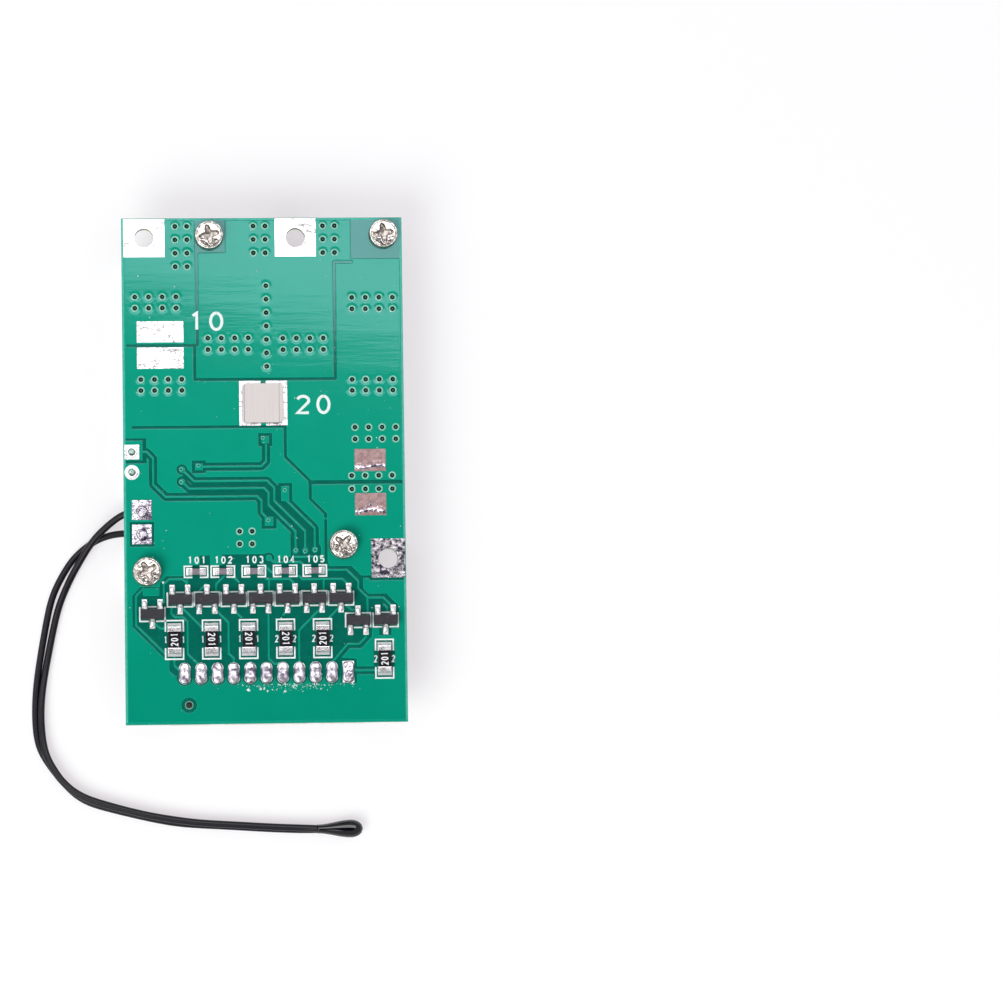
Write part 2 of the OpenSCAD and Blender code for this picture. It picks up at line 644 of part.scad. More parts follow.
module transistor(n) {
    s = sots[n - 1];
    reach = sot_w / 2 + leg_reach;
    z_leg = sot_stand + 0.35;
    color("#2e2b30") translate([s[0], s[1], z_land]) rotate(s[2] > 0 ? 0 : 180) {
        rotate([90, 0, 90]) translate([0, 0, -sot_l / 2]) linear_extrude(sot_l)
            polygon([[-sot_w / 2 + 0.06, sot_stand], [sot_w / 2 - 0.06, sot_stand],
                [sot_w / 2, z_leg + 0.1], [sot_w / 2 - 0.1, sot_stand + sot_h],
                [-sot_w / 2 + 0.1, sot_stand + sot_h], [-sot_w / 2, z_leg + 0.1]]);
        for (leg = [[-sot_leg_gap / 2, 1], [sot_leg_gap / 2, 1], [0, -1]])
            translate([leg[0], 0, 0]) rotate(leg[1] > 0 ? 0 : 180)
                rotate([90, 0, 90]) translate([0, 0, -leg_w / 2]) linear_extrude(leg_w)
                    polygon([[sot_w / 2 - 0.2, z_leg], [sot_w / 2 + 0.05, z_leg],
                        [sot_w / 2 + 0.18, 0], [reach, 0], [reach, leg_t],
                        [sot_w / 2 + 0.28, leg_t], [sot_w / 2 + 0.14, z_leg + leg_t],
                        [sot_w / 2 - 0.2, z_leg + leg_t]]);
    }
}

// A thick-film resistor: ceramic block with a wrapped metal cap at each end, along X
module film_resistor(l, w, h, cap) {
    translate([0, 0, h / 2]) cube([l - 2 * cap, w - 2 * cap_t, h - 2 * cap_t], center = true);
    for (s = [-1, 1]) translate([s * (l - cap) / 2, 0, h / 2]) cube([cap, w, h], center = true);
}

module chip_resistor(n) {
    c = chips[n - 1];
    color("#8c8488") translate([c[0], c[1], z_land]) film_resistor(chip_l, chip_w, chip_h, chip_cap);
}

module balance_resistor(n) {
    c = loads[n - 1];
    color("#26242a") translate([c[0], c[1], z_land]) rotate(90)
        film_resistor(load_l, load_w, load_h, load_cap);
}

// Plain figures on the balance resistors, across their length
module resistor_marks() {
    color("white") for (i = [0:5])
        translate([loads[i][0], loads[i][1], z_land + load_h - cap_t]) linear_extrude(0.02)
            rotate(i == 0 || i > 3 ? 90 : -90) number([2, 0, 1], 0.4, 0.84, 0.12, 0.12);
}

// Pan head with a cross recess and a plain shank of the thread's diameter
module screw() {
    crown = head_h * 0.6;
    r = (head_d * head_d / 4 + crown * crown) / (2 * crown);
    slot_w = head_d * 0.15;
    slot_l = head_d * 0.56;
    difference() {
        intersection() {
            cylinder(d = head_d, h = head_h);
            translate([0, 0, head_h - r]) sphere(r = r, $fn = 96);
        }
        for (a = [0, 90]) rotate(a) translate([-slot_l / 2, -slot_w / 2, head_h * 0.42])
            cube([slot_l, slot_w, head_h]);
        translate([0, 0, head_h * 0.3]) cylinder(d1 = 0.5, d2 = slot_w * 2.6, h = head_h * 0.8);
    }
    translate([0, 0, -screw_l]) cylinder(d = screw_d, h = screw_l + eps);
}

module clamp_screws() {
    color("#d8d6d4") for (i = [0:3])
        translate([screws[i][0], screws[i][1], z_seat(i)]) rotate([14, 10, 50, 28][i]) screw();
}

// The two upper heads sit on bare laminate, the two lower ones on masked copper
function z_seat(i) = i < 2 ? z_bare : z_top;

// --- under the board -------------------------------------------------------------

// Notches keep the plate clear of the wire holes and the sensor lead
plate_edge = 0.75;
plate_end = 16.1;
notch_gap = 0.5;
notch_run = 4;
lead_notch = [4.1, 6];

module plate_plan() {
    difference() {
        translate([left(plate_edge), low(plate_end)])
            square([board_w - 2 * plate_edge, high(plate_edge) - low(plate_end)]);
        // each notch runs out past the plate's nearest edges
        for (p = wire_pads) {
            side = abs(p[0]) > board_w / 4 ? sign(p[0]) : 0;
            end = sign(p[1]);
            block([p[0] + side * notch_run / 2, p[1] + end * notch_run / 2],
                [p[2] + 2 * notch_gap + abs(side) * notch_run, p[3] + 2 * notch_gap + notch_run]);
        }
        translate([left(-1), (lead_holes[0][1] + lead_holes[1][1]) / 2 - lead_notch[1] / 2])
            square([lead_notch[0] + 1, lead_notch[1]]);
    }
}

module heatsink_plate() {
    color("#b9bcc0") difference() {
        union() {
            linear_extrude(plate_t) plate_plan();
            for (s = screws) translate([s[0], s[1], plate_t - eps])
                cylinder(d = boss_d, h = z_board - plate_t + eps);
        }
        for (s = screws) translate([s[0], s[1], -1])
            cylinder(d = screw_d + 2 * screw_fit, h = z_board + 2);
    }
}

power_w = 6.6;
power_l = 6.1;
power_rows = [17.4, 5.2];
power_pitch = 7.7;

module thermal_pad() {
    w = 3 * power_pitch + power_w + 0.6;
    low_y = power_rows[1] - power_l / 2 - 0.5;
    color("#8fb0c8") translate([-w / 2, low_y, z_pad])
        cube([w, power_rows[0] - power_rows[1] + power_l + 1, pad_t]);
}

// Moulded body on the thermal pad, tab and two legs soldered to the board above
module power_transistor(n) {
    i = (n - 1) % 4;
    row = floor((n - 1) / 4);
    tab_t = 0.5;
    color("#252429") translate([(i - 1.5) * power_pitch, power_rows[row], z_power]) {
        translate([-power_w / 2, -power_l / 2, 0]) cube([power_w, power_l, power_h]);
        translate([-2.65, power_l / 2 - eps, power_h - tab_t]) cube([5.3, 1.1, tab_t]);
        for (s = [-1, 1]) translate([s * 2.28 - 0.38, -power_l / 2 - 2.2, power_h - tab_t])
            cube([0.76, 2.2 + eps, tab_t]);
    }
}

shunt_size = [6.4, 3.2, 0.6];
shunts = [[-7.6, -6.6], [0, -6.6], [5.2, -2.6]];

module current_shunt(n) {
    s = shunts[n - 1];
    color("#3b3b3e") translate([s[0], s[1], z_board - shunt_size[2]])
        film_resistor(shunt_size[0], shunt_size[1], shunt_size[2], 1.1);
}

// A flat chip with legs along both long sides, hanging from the board's lower face
module gull_chip(size, legs, pitch) {
    w = size[1];
    h = size[2];
    stand = 0.1;
    translate([-size[0] / 2, -w / 2, -h - stand]) cube(size);
    for (i = [0:legs - 1], s = [-1, 1])
        translate([(i - (legs - 1) / 2) * pitch - 0.13, 0, 0]) rotate([s > 0 ? 0 : 180, 0, 0])
            translate([0, w / 2 - 0.05, s > 0 ? -h * 0.6 : 0]) leg_side(h * 0.6);
}

module leg_side(h) {
    cube([0.26, 0.4, h]);
    translate([0, 0.2, h - 0.15]) cube([0.26, 0.7, 0.15]);
}

under_row = 11.9;
under_gap = 1.85;
protection_size = [7.8, 4.4, 1];
balance_size = [4.9, 3.9, 1.4];
capacitor_size = [3.2, 2.5, 1.6];
balance_x = protection_size[0] / 2 + under_gap + balance_size[0] / 2;
capacitor_x = balance_x + balance_size[0] / 2 + 1.5 + capacitor_size[1] / 2;

module protection_chip() {
    color("#2a292d") translate([0, low(under_row), z_board]) gull_chip(protection_size, 12, 0.65);
}

module balance_chip(n) {
    color("#2a292d") translate([(n == 1 ? -1 : 1) * balance_x, low(under_row), z_board])
        gull_chip(balance_size, 4, 1.27);
}

module capacitor(n) {
    color("#b59a76")
        translate([(n == 1 ? -1 : 1) * capacitor_x, low(under_row), z_board - capacitor_size[2]])
            rotate(90) film_resistor(capacitor_size[0], capacitor_size[1], capacitor_size[2], 0.5);
}

// Housing with a mouth at the board's lower edge, a back wall that holds the pins, and two
// cheeks that reach back beside the bends
header_w = (pins - 1) * pin_pitch + 3.9;
cavity_d = header_d - 1;
cheek_l = 2.2;
pin_z = z_board - header_h / 2;

module header_housing() {
    color("#f3efe4") difference() {
        union() {
            translate([-header_w / 2, low(0), z_board - header_h])
                cube([header_w, header_d, header_h]);
            for (s = [-1, 1])
                translate([s * (header_w - header_wall) / 2 - header_wall / 2, low(header_d - eps),
                    z_board - header_h]) cube([header_wall, cheek_l, header_h]);
        }
        translate([-header_w / 2 + header_wall, low(-1), z_board - header_h + header_wall])
            cube([header_w - 2 * header_wall, cavity_d + 1, header_h - 2 * header_wall]);
        for (s = [-1, 1]) translate([s * header_w / 4 - 0.9, low(-1), z_board - header_h - 1])
            cube([1.8, 3, header_wall + 2]);
        for (j = joints) translate([j[0], low(header_d) , pin_z])
            cube([pin_w + 2 * pin_fit, 4, pin_w + 2 * pin_fit], center = true);
    }
}

module header_pins() {
    color("#d8cfa8") for (j = joints) translate([j[0], 0, 0]) {
        translate([-pin_w / 2, low(1), pin_z - pin_w / 2])
            cube([pin_w, joint_row - 1 + pin_w / 2, pin_w]);
        translate([-pin_w / 2, j[1] - pin_w / 2, pin_z - pin_w / 2])
            cube([pin_w, pin_w, z_bare - pin_z + pin_w / 2]);
    }
}

// --- sensor lead -----------------------------------------------------------------

function unit(v) = v / norm(v);
function at(p, i) = p[max(0, min(len(p) - 1, i))];
// A point between p[i] and p[i + 1] on a smooth curve through all the points
function curve(p, i, t) =
    let (a = at(p, i - 1), b = at(p, i), c = at(p, i + 1), d = at(p, i + 2))
    0.5 * (2 * b + (c - a) * t + (2 * a - 5 * b + 4 * c - d) * t * t
        + (3 * b - a - 3 * c + d) * t * t * t);
ring_gap = 3.2;
function rings(p) = concat(
    [for (i = [0:len(p) - 2]) let (n = ceil(norm(p[i + 1] - p[i]) / ring_gap))
        for (k = [0:n - 1]) curve(p, i, k / n)],
    [p[len(p) - 1]]);
function tangents(p) = [for (i = [0:len(p) - 1]) unit(at(p, i + 1) - at(p, i - 1))];
// A normal at each ring, carried along from the first so that the tube doesn't twist
function normals(t) = [for (i = 0, n = [0, 1, 0]; i < len(t);
    i = i + 1, n = i < len(t) ? unit(n - (n * t[i]) * t[i]) : n) n];

module tube(route, d) {
    sides = 8;
    p = rings(route);
    t = concat([[0, 0, -1]], [for (i = [1:len(p) - 2]) tangents(p)[i]], [[1, 0, 0]]);
    n = normals(t);
    m = len(p);
    pts = [for (i = [0:m - 1], k = [0:sides - 1]) let (a = 360 * k / sides)
        p[i] + d / 2 * (cos(a) * n[i] + sin(a) * cross(t[i], n[i]))];
    walls = [for (i = [0:m - 2], k = [0:sides - 1])
        let (a = i * sides + k, b = i * sides + (k + 1) % sides)
        for (f = [[a, a + sides, b], [b, a + sides, b + sides]]) f];
    polyhedron(pts, concat(walls, [[for (k = [0:sides - 1]) k]],
        [[for (k = [sides - 1:-1:0]) (m - 1) * sides + k]]));
}

module lead_wire_a() {
    color("#232226") tube(route_a, lead_d);
}

module lead_wire_b() {
    color("#232226") tube(route_b, lead_d);
}

// A drop of epoxy: a cone that widens into a ball
module sensor_bead() {
    r = bead_d / 2;
    mouth = 0.88;
    color("#1c1b1f") translate(bead_place) rotate([0, 90, 0]) {
        cylinder(r1 = mouth, r2 = r, h = bead_l - r);
        translate([0, 0, bead_l - r]) sphere(r = r);
    }
}

circuit_board();
heatsink_plate();
thermal_pad();
clamp_screws();
via_plating();
for (i = [1:3]) wire_pad(i - 1);
jumper_pads();
solder_pads();
component_lands();
bridge_plate();
header_joints();
lead_joints();
printed_legend();
resistor_marks();
header_housing();
header_pins();
protection_chip();
for (i = [1:10]) transistor(i);
for (i = [1:5]) chip_resistor(i);
for (i = [1:6]) balance_resistor(i);
for (i = [1:8]) power_transistor(i);
for (i = [1:3]) current_shunt(i);
for (i = [1:2]) balance_chip(i);
for (i = [1:2]) capacitor(i);
lead_wire_a();
lead_wire_b();
sensor_bead();
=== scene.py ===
"""Looks of a battery management board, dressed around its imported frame. Lengths are in metres."""

import math
from functools import partialmethod

import bpy
import numpy as np
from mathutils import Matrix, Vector


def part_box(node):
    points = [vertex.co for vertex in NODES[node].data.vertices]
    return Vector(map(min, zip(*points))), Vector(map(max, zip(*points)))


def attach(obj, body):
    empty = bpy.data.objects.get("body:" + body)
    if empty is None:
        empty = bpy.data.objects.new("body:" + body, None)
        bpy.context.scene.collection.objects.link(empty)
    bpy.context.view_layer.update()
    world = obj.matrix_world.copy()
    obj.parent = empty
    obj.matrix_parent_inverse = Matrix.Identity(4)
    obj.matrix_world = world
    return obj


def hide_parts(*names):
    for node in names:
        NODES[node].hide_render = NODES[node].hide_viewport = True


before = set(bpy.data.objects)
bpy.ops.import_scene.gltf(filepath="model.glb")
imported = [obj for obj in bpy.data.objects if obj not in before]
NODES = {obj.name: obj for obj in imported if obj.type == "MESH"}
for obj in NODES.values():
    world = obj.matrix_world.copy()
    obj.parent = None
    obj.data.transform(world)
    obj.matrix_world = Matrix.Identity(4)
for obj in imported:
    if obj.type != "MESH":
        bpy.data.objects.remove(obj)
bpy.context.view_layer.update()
mm = 0.001

# Heights and edges that the pieces share, from the frame
BOARD_LOW, BOARD_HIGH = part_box("circuit_board")
HALF_W, HALF_L, MASK_Z = BOARD_HIGH
BOARD_BOTTOM = BOARD_LOW.z
BARE_Z, LAND_Z = (corner.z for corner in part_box("wire_pad_1"))

CAMERA_PLACE = (-18.8 * mm, -43.2 * mm, 586.7 * mm)
CAMERA_TURN = (3.926, -4.664, -0.853)  # degrees
LENS, SENSOR_WIDTH = 170, 36
FLOOR_HALF, FLOOR_DROP = 3, 0.02 * mm
FLOOR_GLOW = 0.56
SKY, SKY_OVERHEAD, SKY_LOW = 0.6, 0.012, 0.62  # strength for matt pieces, and as seen in shiny ones


def left(d):
    """The x of a place d mm in from the left edge of the board. right, low and high do the same."""
    return -HALF_W + d * mm


def right(d):
    return HALF_W - d * mm


def low(d):
    return -HALF_L + d * mm


def high(d):
    return HALF_L - d * mm


def numbered(name, count):
    return [f"{name}_{n}" for n in range(1, count + 1)]


def shown(name, data):
    """A new object in the scene."""
    made = bpy.data.objects.new(name, data)
    bpy.context.scene.collection.objects.link(made)
    return made


# --- camera, light and floor


def panel(name, centre, size, color, radiance, turn=None, diffuse=True):
    """A glowing rectangle that faces the board, or straight down and turned about Z by degrees."""
    data = bpy.data.lights.new(name, "AREA")
    data.shape = "RECTANGLE"
    data.size, data.size_y = size
    data.energy = radiance * math.pi * size[0] * size[1]
    data.color = color
    light = shown(name, data)
    light.location = centre
    if turn is None:
        light.rotation_euler = (-Vector(centre)).to_track_quat("-Z", "Y").to_euler()
    else:
        light.rotation_euler = (0, 0, math.radians(turn))
    light.visible_diffuse = diffuse


def studio():
    """A camera above the board, a soft lamp to the lower left that casts the shadow, and panels
    beyond the upper end and to the left that only show as reflections."""
    scene = bpy.context.scene
    scene.view_settings.view_transform = "Standard"
    camera = shown("camera", bpy.data.cameras.new("camera"))
    camera.location = CAMERA_PLACE
    camera.rotation_euler = [math.radians(a) for a in CAMERA_TURN]
    camera.data.lens, camera.data.sensor_width = LENS, SENSOR_WIDTH
    camera.data.clip_start, camera.data.clip_end = 0.05, 20
    scene.camera = camera
    panel("far_panel", (0.02, 0.2985, 0.56), (0.8, 0.43), (1.0, 0.985, 1.0), 4.6, -13.4, False)
    panel("side_panel", (-0.5, 0.12, 0.42), (0.3, 0.5), (1.0, 0.98, 0.99), 2.0, diffuse=False)
    panel("low_lamp", (-0.36, -0.42, 0.62), (0.5, 0.5), (1.0, 0.99, 0.98), 5.7)

    floor = shown("floor", bpy.data.meshes.new("floor"))
    corners = np.array([(-1, -1, 0), (1, -1, 0), (1, 1, 0), (-1, 1, 0)]) * FLOOR_HALF
    floor.data.from_pydata((corners - (0, 0, FLOOR_DROP)).tolist(), [], [(0, 1, 2, 3)])
    made, t = paint("table", (0.46, 0.5, 0.49, 1), 0.9)
    t.shine.default_value = 0.0
    rays = t.add("LightPath")
    direct = t.either(rays["Is Camera Ray"], rays["Is Glossy Ray"])
    seen = t.both(t.either(direct, rays["Is Transmission Ray"]), FLOOR_GLOW)
    glow = t.add("Emission", {"Color": (1.0, 0.92, 0.96, 1), "Strength": seen})
    nodes = made.node_tree.nodes
    t.add("AddShader", {0: nodes["Principled BSDF"].outputs[0], 1: glow[0]},
          nodes["Material Output"].inputs["Surface"])
    floor.data.materials.append(made)

    world = bpy.data.worlds.new("room")
    scene.world = world
    world.use_nodes = True
    t = Shading(world.node_tree)
    sky = world.node_tree.nodes["Background"].inputs
    way = t.add("SeparateXYZ", {0: t.add("TexCoord")["Generated"]})["Z"]
    shiny = t.spread(way, 0.955, 0.8, SKY_OVERHEAD, SKY_LOW, interpolation_type="SMOOTHSTEP")
    glossy = t.add("LightPath")["Is Glossy Ray"]
    t.add("Mix", {"Factor": glossy, "A": SKY, "B": shiny}, sky["Strength"])
    sky["Color"].default_value = (0.98, 0.985, 1.0, 1)


# --- short ways to build shader nodes


class Shading:
    """A node tree, with short ways to add shader nodes. A value that is a socket is linked."""

    def __init__(self, tree):
        self.tree = tree

    def put(self, socket, value):
        if isinstance(value, bpy.types.NodeSocket):
            self.tree.links.new(value, socket)
        else:
            socket.default_value = value

    def add(self, kind, inputs=None, into=None, **settings):
        """The outputs of one new node. into takes the first of them."""
        made = self.tree.nodes.new("ShaderNode" + kind)
        for key, value in settings.items():
            setattr(made, key, value)
        for key, value in (inputs or {}).items():
            self.put(made.inputs[key], value)
        if into is not None:
            self.put(into, made.outputs[0])
        return made.outputs

    def place(self, group, **inputs):
        """The outputs of a shared effect, with its own values."""
        return self.add("Group", inputs, node_tree=group)

    def maths(self, operation, first, second=0.0):
        return self.add("Math", {0: first, 1: second}, operation=operation)[0]

    above = partialmethod(maths, "GREATER_THAN")
    below = partialmethod(maths, "LESS_THAN")
    either = partialmethod(maths, "MAXIMUM")
    both = partialmethod(maths, "MULTIPLY")
    size_of = partialmethod(maths, "ABSOLUTE")

    def spread(self, value, start, end, to_start=0.0, to_end=1.0, into=None, **settings):
        """A value moved from one range to another, and held inside it."""
        inputs = {"Value": value, "From Min": start, "From Max": end,
                  "To Min": to_start, "To Max": to_end}
        return self.add("MapRange", inputs, into, **settings)[0]

    def blend(self, mask, first, second, into=None):
        """Two colours mixed by a mask."""
        mixed = self.add("Mix", {0: mask, 6: first, 7: second}, data_type="RGBA")[2]
        if into is not None:
            self.put(into, mixed)
        return mixed

    def bump(self, height, distance, into=None, normal=None):
        inputs = {"Height": height, "Distance": distance}
        if normal is not None:
            inputs["Normal"] = normal
        return self.add("Bump", inputs, into)[0]

    def grain(self, spots, relief, radius):
        """Fine relief over rounded edges, both in mm."""
        edge = self.place(EDGES, Radius=radius * mm)["Normal"]
        self.bump(spots["Height"], relief * mm, self.normal, edge)

    def spot(self):
        """The place on the object."""
        return self.add("TexCoord")["Object"]

    def where(self):
        """The place on the object as X, Y and Z."""
        return self.add("SeparateXYZ", {0: self.spot()})

    def drawn_out(self, scale, turn=0.0):
        """The place on the object, squeezed along each axis by scale and turned about Z."""
        inputs = {"Vector": self.spot(), "Scale": scale, "Rotation": (0, 0, turn)}
        return self.add("Mapping", inputs)[0]

    def noise(self, spot, scale, detail, roughness=0.5):
        inputs = {"Vector": spot, "Scale": scale, "Detail": detail, "Roughness": roughness}
        return self.add("TexNoise", inputs)["Fac"]


def ink(red, green, blue):
    """A colour written as 0 to 255 on a screen, as linear light."""
    shares = [c / 255 for c in (red, green, blue)]
    return (*(c / 12.92 if c <= 0.04045 else ((c + 0.055) / 1.055) ** 2.4 for c in shares), 1)


def shade(color, factor):
    return tuple(min(1.0, c * factor) for c in color[:3]) + (1,)


# --- shared effects


def effect(name, inputs, outputs, build):
    """A node group: its numbers, the kind of each output, and the function that fills it."""
    tree = bpy.data.node_groups.new(name, "ShaderNodeTree")
    for key, value in inputs.items():
        made = tree.interface.new_socket(key, in_out="INPUT", socket_type="NodeSocketFloat")
        made.default_value = value
    for key, kind in outputs.items():
        tree.interface.new_socket(key, in_out="OUTPUT", socket_type="NodeSocket" + kind)
    start, end = tree.nodes.new("NodeGroupInput"), tree.nodes.new("NodeGroupOutput")
    build(Shading(tree), start.outputs, end.inputs)
    return tree


def fill_blotches(t, given, out):
    """Noise of a given size, pushed apart by contrast."""
    noise = t.noise(t.spot(), given["Scale"], 4.0, 0.6)
    least, most = (t.maths(way, 0.5, given["Softness"]) for way in ("SUBTRACT", "ADD"))
    t.spread(noise, least, most, into=out["Mask"])
    t.put(out["Height"], noise)


def fill_brushed(t, given, out):
    """Fine lines along Y: noise drawn out along Y."""
    t.put(out["Mask"], t.noise(t.drawn_out((1.0, 0.03, 0.6)), given["Scale"], 3.0, 0.65))


def fill_scuffs(t, given, out):
    """Thin stray scratches: level lines of a drawn-out noise, kept where a wider noise is high."""
    noise = t.noise(t.drawn_out((0.45, 1.0, 1.0), 0.25), given["Scale"], 2.5, 0.55)
    line = t.spread(t.size_of(t.maths("SUBTRACT", noise, 0.5)), given["Width"], 0.0)
    patch = t.noise(t.spot(), t.both(given["Scale"], 0.6), 1.0)
    kept = t.spread(patch, given["Cover"], t.maths("ADD", given["Cover"], 0.08))
    t.put(out["Mask"], t.both(line, kept))


def fill_edges(t, given, out):
    """A normal that rounds thin steps, and a mask of where it leans away from the face."""
    bevel = t.add("Bevel", {"Radius": given["Radius"]}, out["Normal"], samples=8)[0]
    flat = t.add("NewGeometry")["True Normal"]
    same = t.add("VectorMath", {0: bevel, 1: flat}, operation="DOT_PRODUCT")["Value"]
    t.spread(same, 0.995, 0.86, into=out["Lean"])


BLOTCHES = effect("blotches", {"Scale": 900.0, "Softness": 0.15},
                  {"Mask": "Float", "Height": "Float"}, fill_blotches)
BRUSHED = effect("brushed_lines", {"Scale": 9000.0}, {"Mask": "Float"}, fill_brushed)
SCUFFS = effect("stray_scratches", {"Scale": 700.0, "Width": 0.02, "Cover": 0.55},
                {"Mask": "Float"}, fill_scuffs)
EDGES = effect("rounded_edges", {"Radius": 0.1 * mm}, {"Normal": "Vector", "Lean": "Float"},
               fill_edges)


# --- materials

COAT_GREEN = (10, 157, 128)
COAT_TINT = (0.55, 0.86, 1.0, 1)
COAT_ROUGHNESS = 0.08
# The band along the board's edges is painted glow, light coming through the laminate's thin edge.
RIM = 0.28  # the paler band along the board's edges, mm


def paint(name, color, roughness, metallic=0.0):
    """A material with one Principled shader, and its tree, which holds the shader's sockets."""
    made = bpy.data.materials.new(name)
    made.use_nodes = True
    made.diffuse_color = color
    t = Shading(made.node_tree)
    t.socket = made.node_tree.nodes["Principled BSDF"].inputs
    t.color, t.rough, t.normal = (t.socket[key] for key in ("Base Color", "Roughness", "Normal"))
    t.shine = t.socket["Specular IOR Level"]
    t.color.default_value = color
    t.rough.default_value = roughness
    t.socket["Metallic"].default_value = metallic
    return made, t


def blotches(t, scale, softness):
    return t.place(BLOTCHES, Scale=scale, Softness=softness)


def ripple(t, normal, into):
    """The wavy flow of the mask's coat: long low waves along X."""
    waves = t.noise(t.drawn_out((0.1, 1.0, 1.0), 0.03), 520.0, 4.0, 0.62)
    t.bump(waves, 0.010 * mm, into, normal)


def copper_tone(t, y):
    """Mask over copper, with faint wide clouds, and painted shade that darkens it a little towards
    the lower edge.
    """
    clouds = blotches(t, 170.0, 0.35)["Mask"]
    upper = t.blend(clouds, ink(5, 154, 126), ink(12, 161, 134))
    lower = t.blend(clouds, ink(1, 143, 116), ink(5, 149, 122))
    return t.blend(t.spread(y, -30 * mm, 2 * mm), lower, upper)


def board_paint():
    """Green mask, lighter over copper than over bare laminate and pale along the copper's edges,
    partly as a thinner coat and partly as painted highlight; painted reflection makes the bare
    laminate paler towards the upper end, painted glow lies in a band along the board's edges, and
    the cut edge is glass and epoxy."""
    made, t = paint("solder_mask", ink(*COAT_GREEN), COAT_ROUGHNESS)
    t.socket["Specular Tint"].default_value = COAT_TINT
    x, y, z = t.where()[:3]
    up = t.add("SeparateXYZ", {0: t.add("NewGeometry")["True Normal"]})["Z"]
    upright = t.below(t.size_of(up), 0.5)
    fine = blotches(t, 2600.0, 0.2)["Mask"]
    cloud = blotches(t, 900.0, 0.3)["Mask"]
    edge = t.place(EDGES, Radius=0.13 * mm)

    # The pale colour along the copper's edges is partly the thinner coat there and partly painted
    # highlight.
    copper = t.blend(t.both(edge["Lean"], 0.75), copper_tone(t, y), ink(44, 186, 160))
    bare = t.blend(cloud, ink(2, 98, 84), ink(8, 112, 94))
    # Painted reflection: bare laminate turns a paler grey-green towards the upper end.
    bare = t.blend(t.spread(y, high(17), high(7)), bare, ink(66, 138, 126))
    top = t.blend(t.above(z, MASK_Z - 0.02 * mm), bare, copper)
    t.spread(edge["Lean"], 0.0, 0.25, 0.5, 0.05, t.shine)
    # Painted glow: a paler band along the left, right and upper edges, and a fainter one along the
    # lower edge.
    rim = t.either(t.above(t.size_of(x), right(RIM)), t.above(y, high(RIM)))
    top = t.blend(rim, top, t.blend(fine, ink(34, 164, 140), ink(70, 188, 164)))
    lower_rim_glow = t.blend(fine, ink(8, 148, 124), ink(20, 160, 136))
    top = t.blend(t.below(y, low(RIM)), top, lower_rim_glow)
    outer = t.either(t.above(t.size_of(x), right(0.02)), t.above(t.size_of(y), high(0.02)))
    wall = t.blend(outer, t.blend(fine, ink(150, 170, 140), ink(196, 206, 170)),
                   t.blend(fine, ink(150, 196, 170), ink(200, 224, 198)))
    deep = t.both(upright, t.below(z, BARE_Z - 0.01 * mm))
    t.blend(t.either(deep, t.both(upright, outer)), top, wall, t.color)
    t.spread(t.either(upright, t.both(rim, 0.5)), 0.0, 1.0, COAT_ROUGHNESS, 0.6, t.rough)
    ripple(t, edge["Normal"], t.normal)
    return made


def dimple_paint():
    """The mask where it sinks towards a via, by a smooth step of the distance in its UV map."""
    made, t = paint("mask_dimple", ink(*COAT_GREEN), COAT_ROUGHNESS)
    t.socket["Specular Tint"].default_value = COAT_TINT
    # The colour carries copper_tone's painted shade towards the lower edge.
    t.put(t.color, copper_tone(t, t.where()["Y"]))
    from_middle = t.add("UVMap", uv_map="from_middle")[0]
    reach = t.add("VectorMath", {0: from_middle}, operation="LENGTH")["Value"]
    height = t.spread(reach, 0.45, 1.0, interpolation_type="SMOOTHSTEP")
    ripple(t, t.bump(height, 0.015 * mm), t.normal)
    return made


def via_paint():
    """Thin pale mask on a via's crown, painted darker as it sinks into the barrel as shade in the
    hole, a painted grey glint on the plug, and bare metal below.
    """
    made, t = paint("via_ring", ink(122, 192, 170), 0.25)
    z = t.where()["Z"]
    spots = blotches(t, 4200.0, 0.2)
    crown = t.blend(spots["Mask"], ink(104, 184, 160), ink(156, 212, 190))
    # Painted shade: the crown darkens to near black as it sinks into the hole.
    sunk = t.blend(t.spread(z, MASK_Z - 0.06 * mm, MASK_Z + 0.006 * mm), ink(4, 30, 30), crown)
    # Painted glint: the plug deep in the hole is a paler grey-green.
    hole_shade_and_glint = t.blend(t.below(z, MASK_Z - 0.2 * mm), sunk, ink(84, 122, 112))
    t.blend(t.below(z, BARE_Z - 0.4 * mm), hole_shade_and_glint, ink(190, 190, 180), t.color)
    t.spread(z, MASK_Z - 0.05 * mm, MASK_Z, 0.03, 0.5, t.shine)
    t.bump(spots["Height"], 0.006 * mm, t.normal)
    return made


def layered_paint(name, color, roughs, metals, grain, softness, low_z, high_z, tones, relief):
    """A mottled skin that changes from its first look at the height low_z to its second at high_z.
    Each look has two tones and the share of the second, and roughs and metals hold both values."""
    made, t = paint(name, ink(*color), roughs[0], metals[0])
    spots = blotches(t, grain, softness)
    share = t.spread(t.where()["Z"], low_z, high_z)
    first, second = (t.blend(t.both(spots["Mask"], cover), ink(*a), ink(*b))
                     for a, b, cover in tones)
    t.blend(share, first, second, t.color)
    t.spread(share, 0.0, 1.0, *roughs, t.rough)
    t.spread(share, 0.0, 1.0, *metals, t.socket["Metallic"])
    t.bump(spots["Height"], relief * mm, t.normal)
    return made


def tin_paint(name, color, roughness, dark=(120, 118, 124), cover=0.0, grain=1500.0, relief=0.004,
              scratch=0.0):
    """Tinned metal: blotches of a darker tone, fine relief, and stray scratches."""
    made, t = paint(name, ink(*color), roughness, 1.0)
    spots = blotches(t, grain, 0.12)
    wide = blotches(t, grain * 0.35, 0.22)["Mask"]
    tone = t.blend(t.both(t.both(spots["Mask"], wide), cover), ink(*color), ink(*dark))
    if scratch:
        lines = t.place(SCUFFS, Scale=grain, Width=0.03, Cover=1 - scratch)["Mask"]
        tone = t.blend(t.both(lines, 0.85), tone, ink(34, 30, 34))
    t.put(t.color, tone)
    t.spread(wide, 0.0, 1.0, roughness * 0.8, min(1.0, roughness * 1.25), t.rough)
    t.grain(spots, relief, 0.05)
    return made


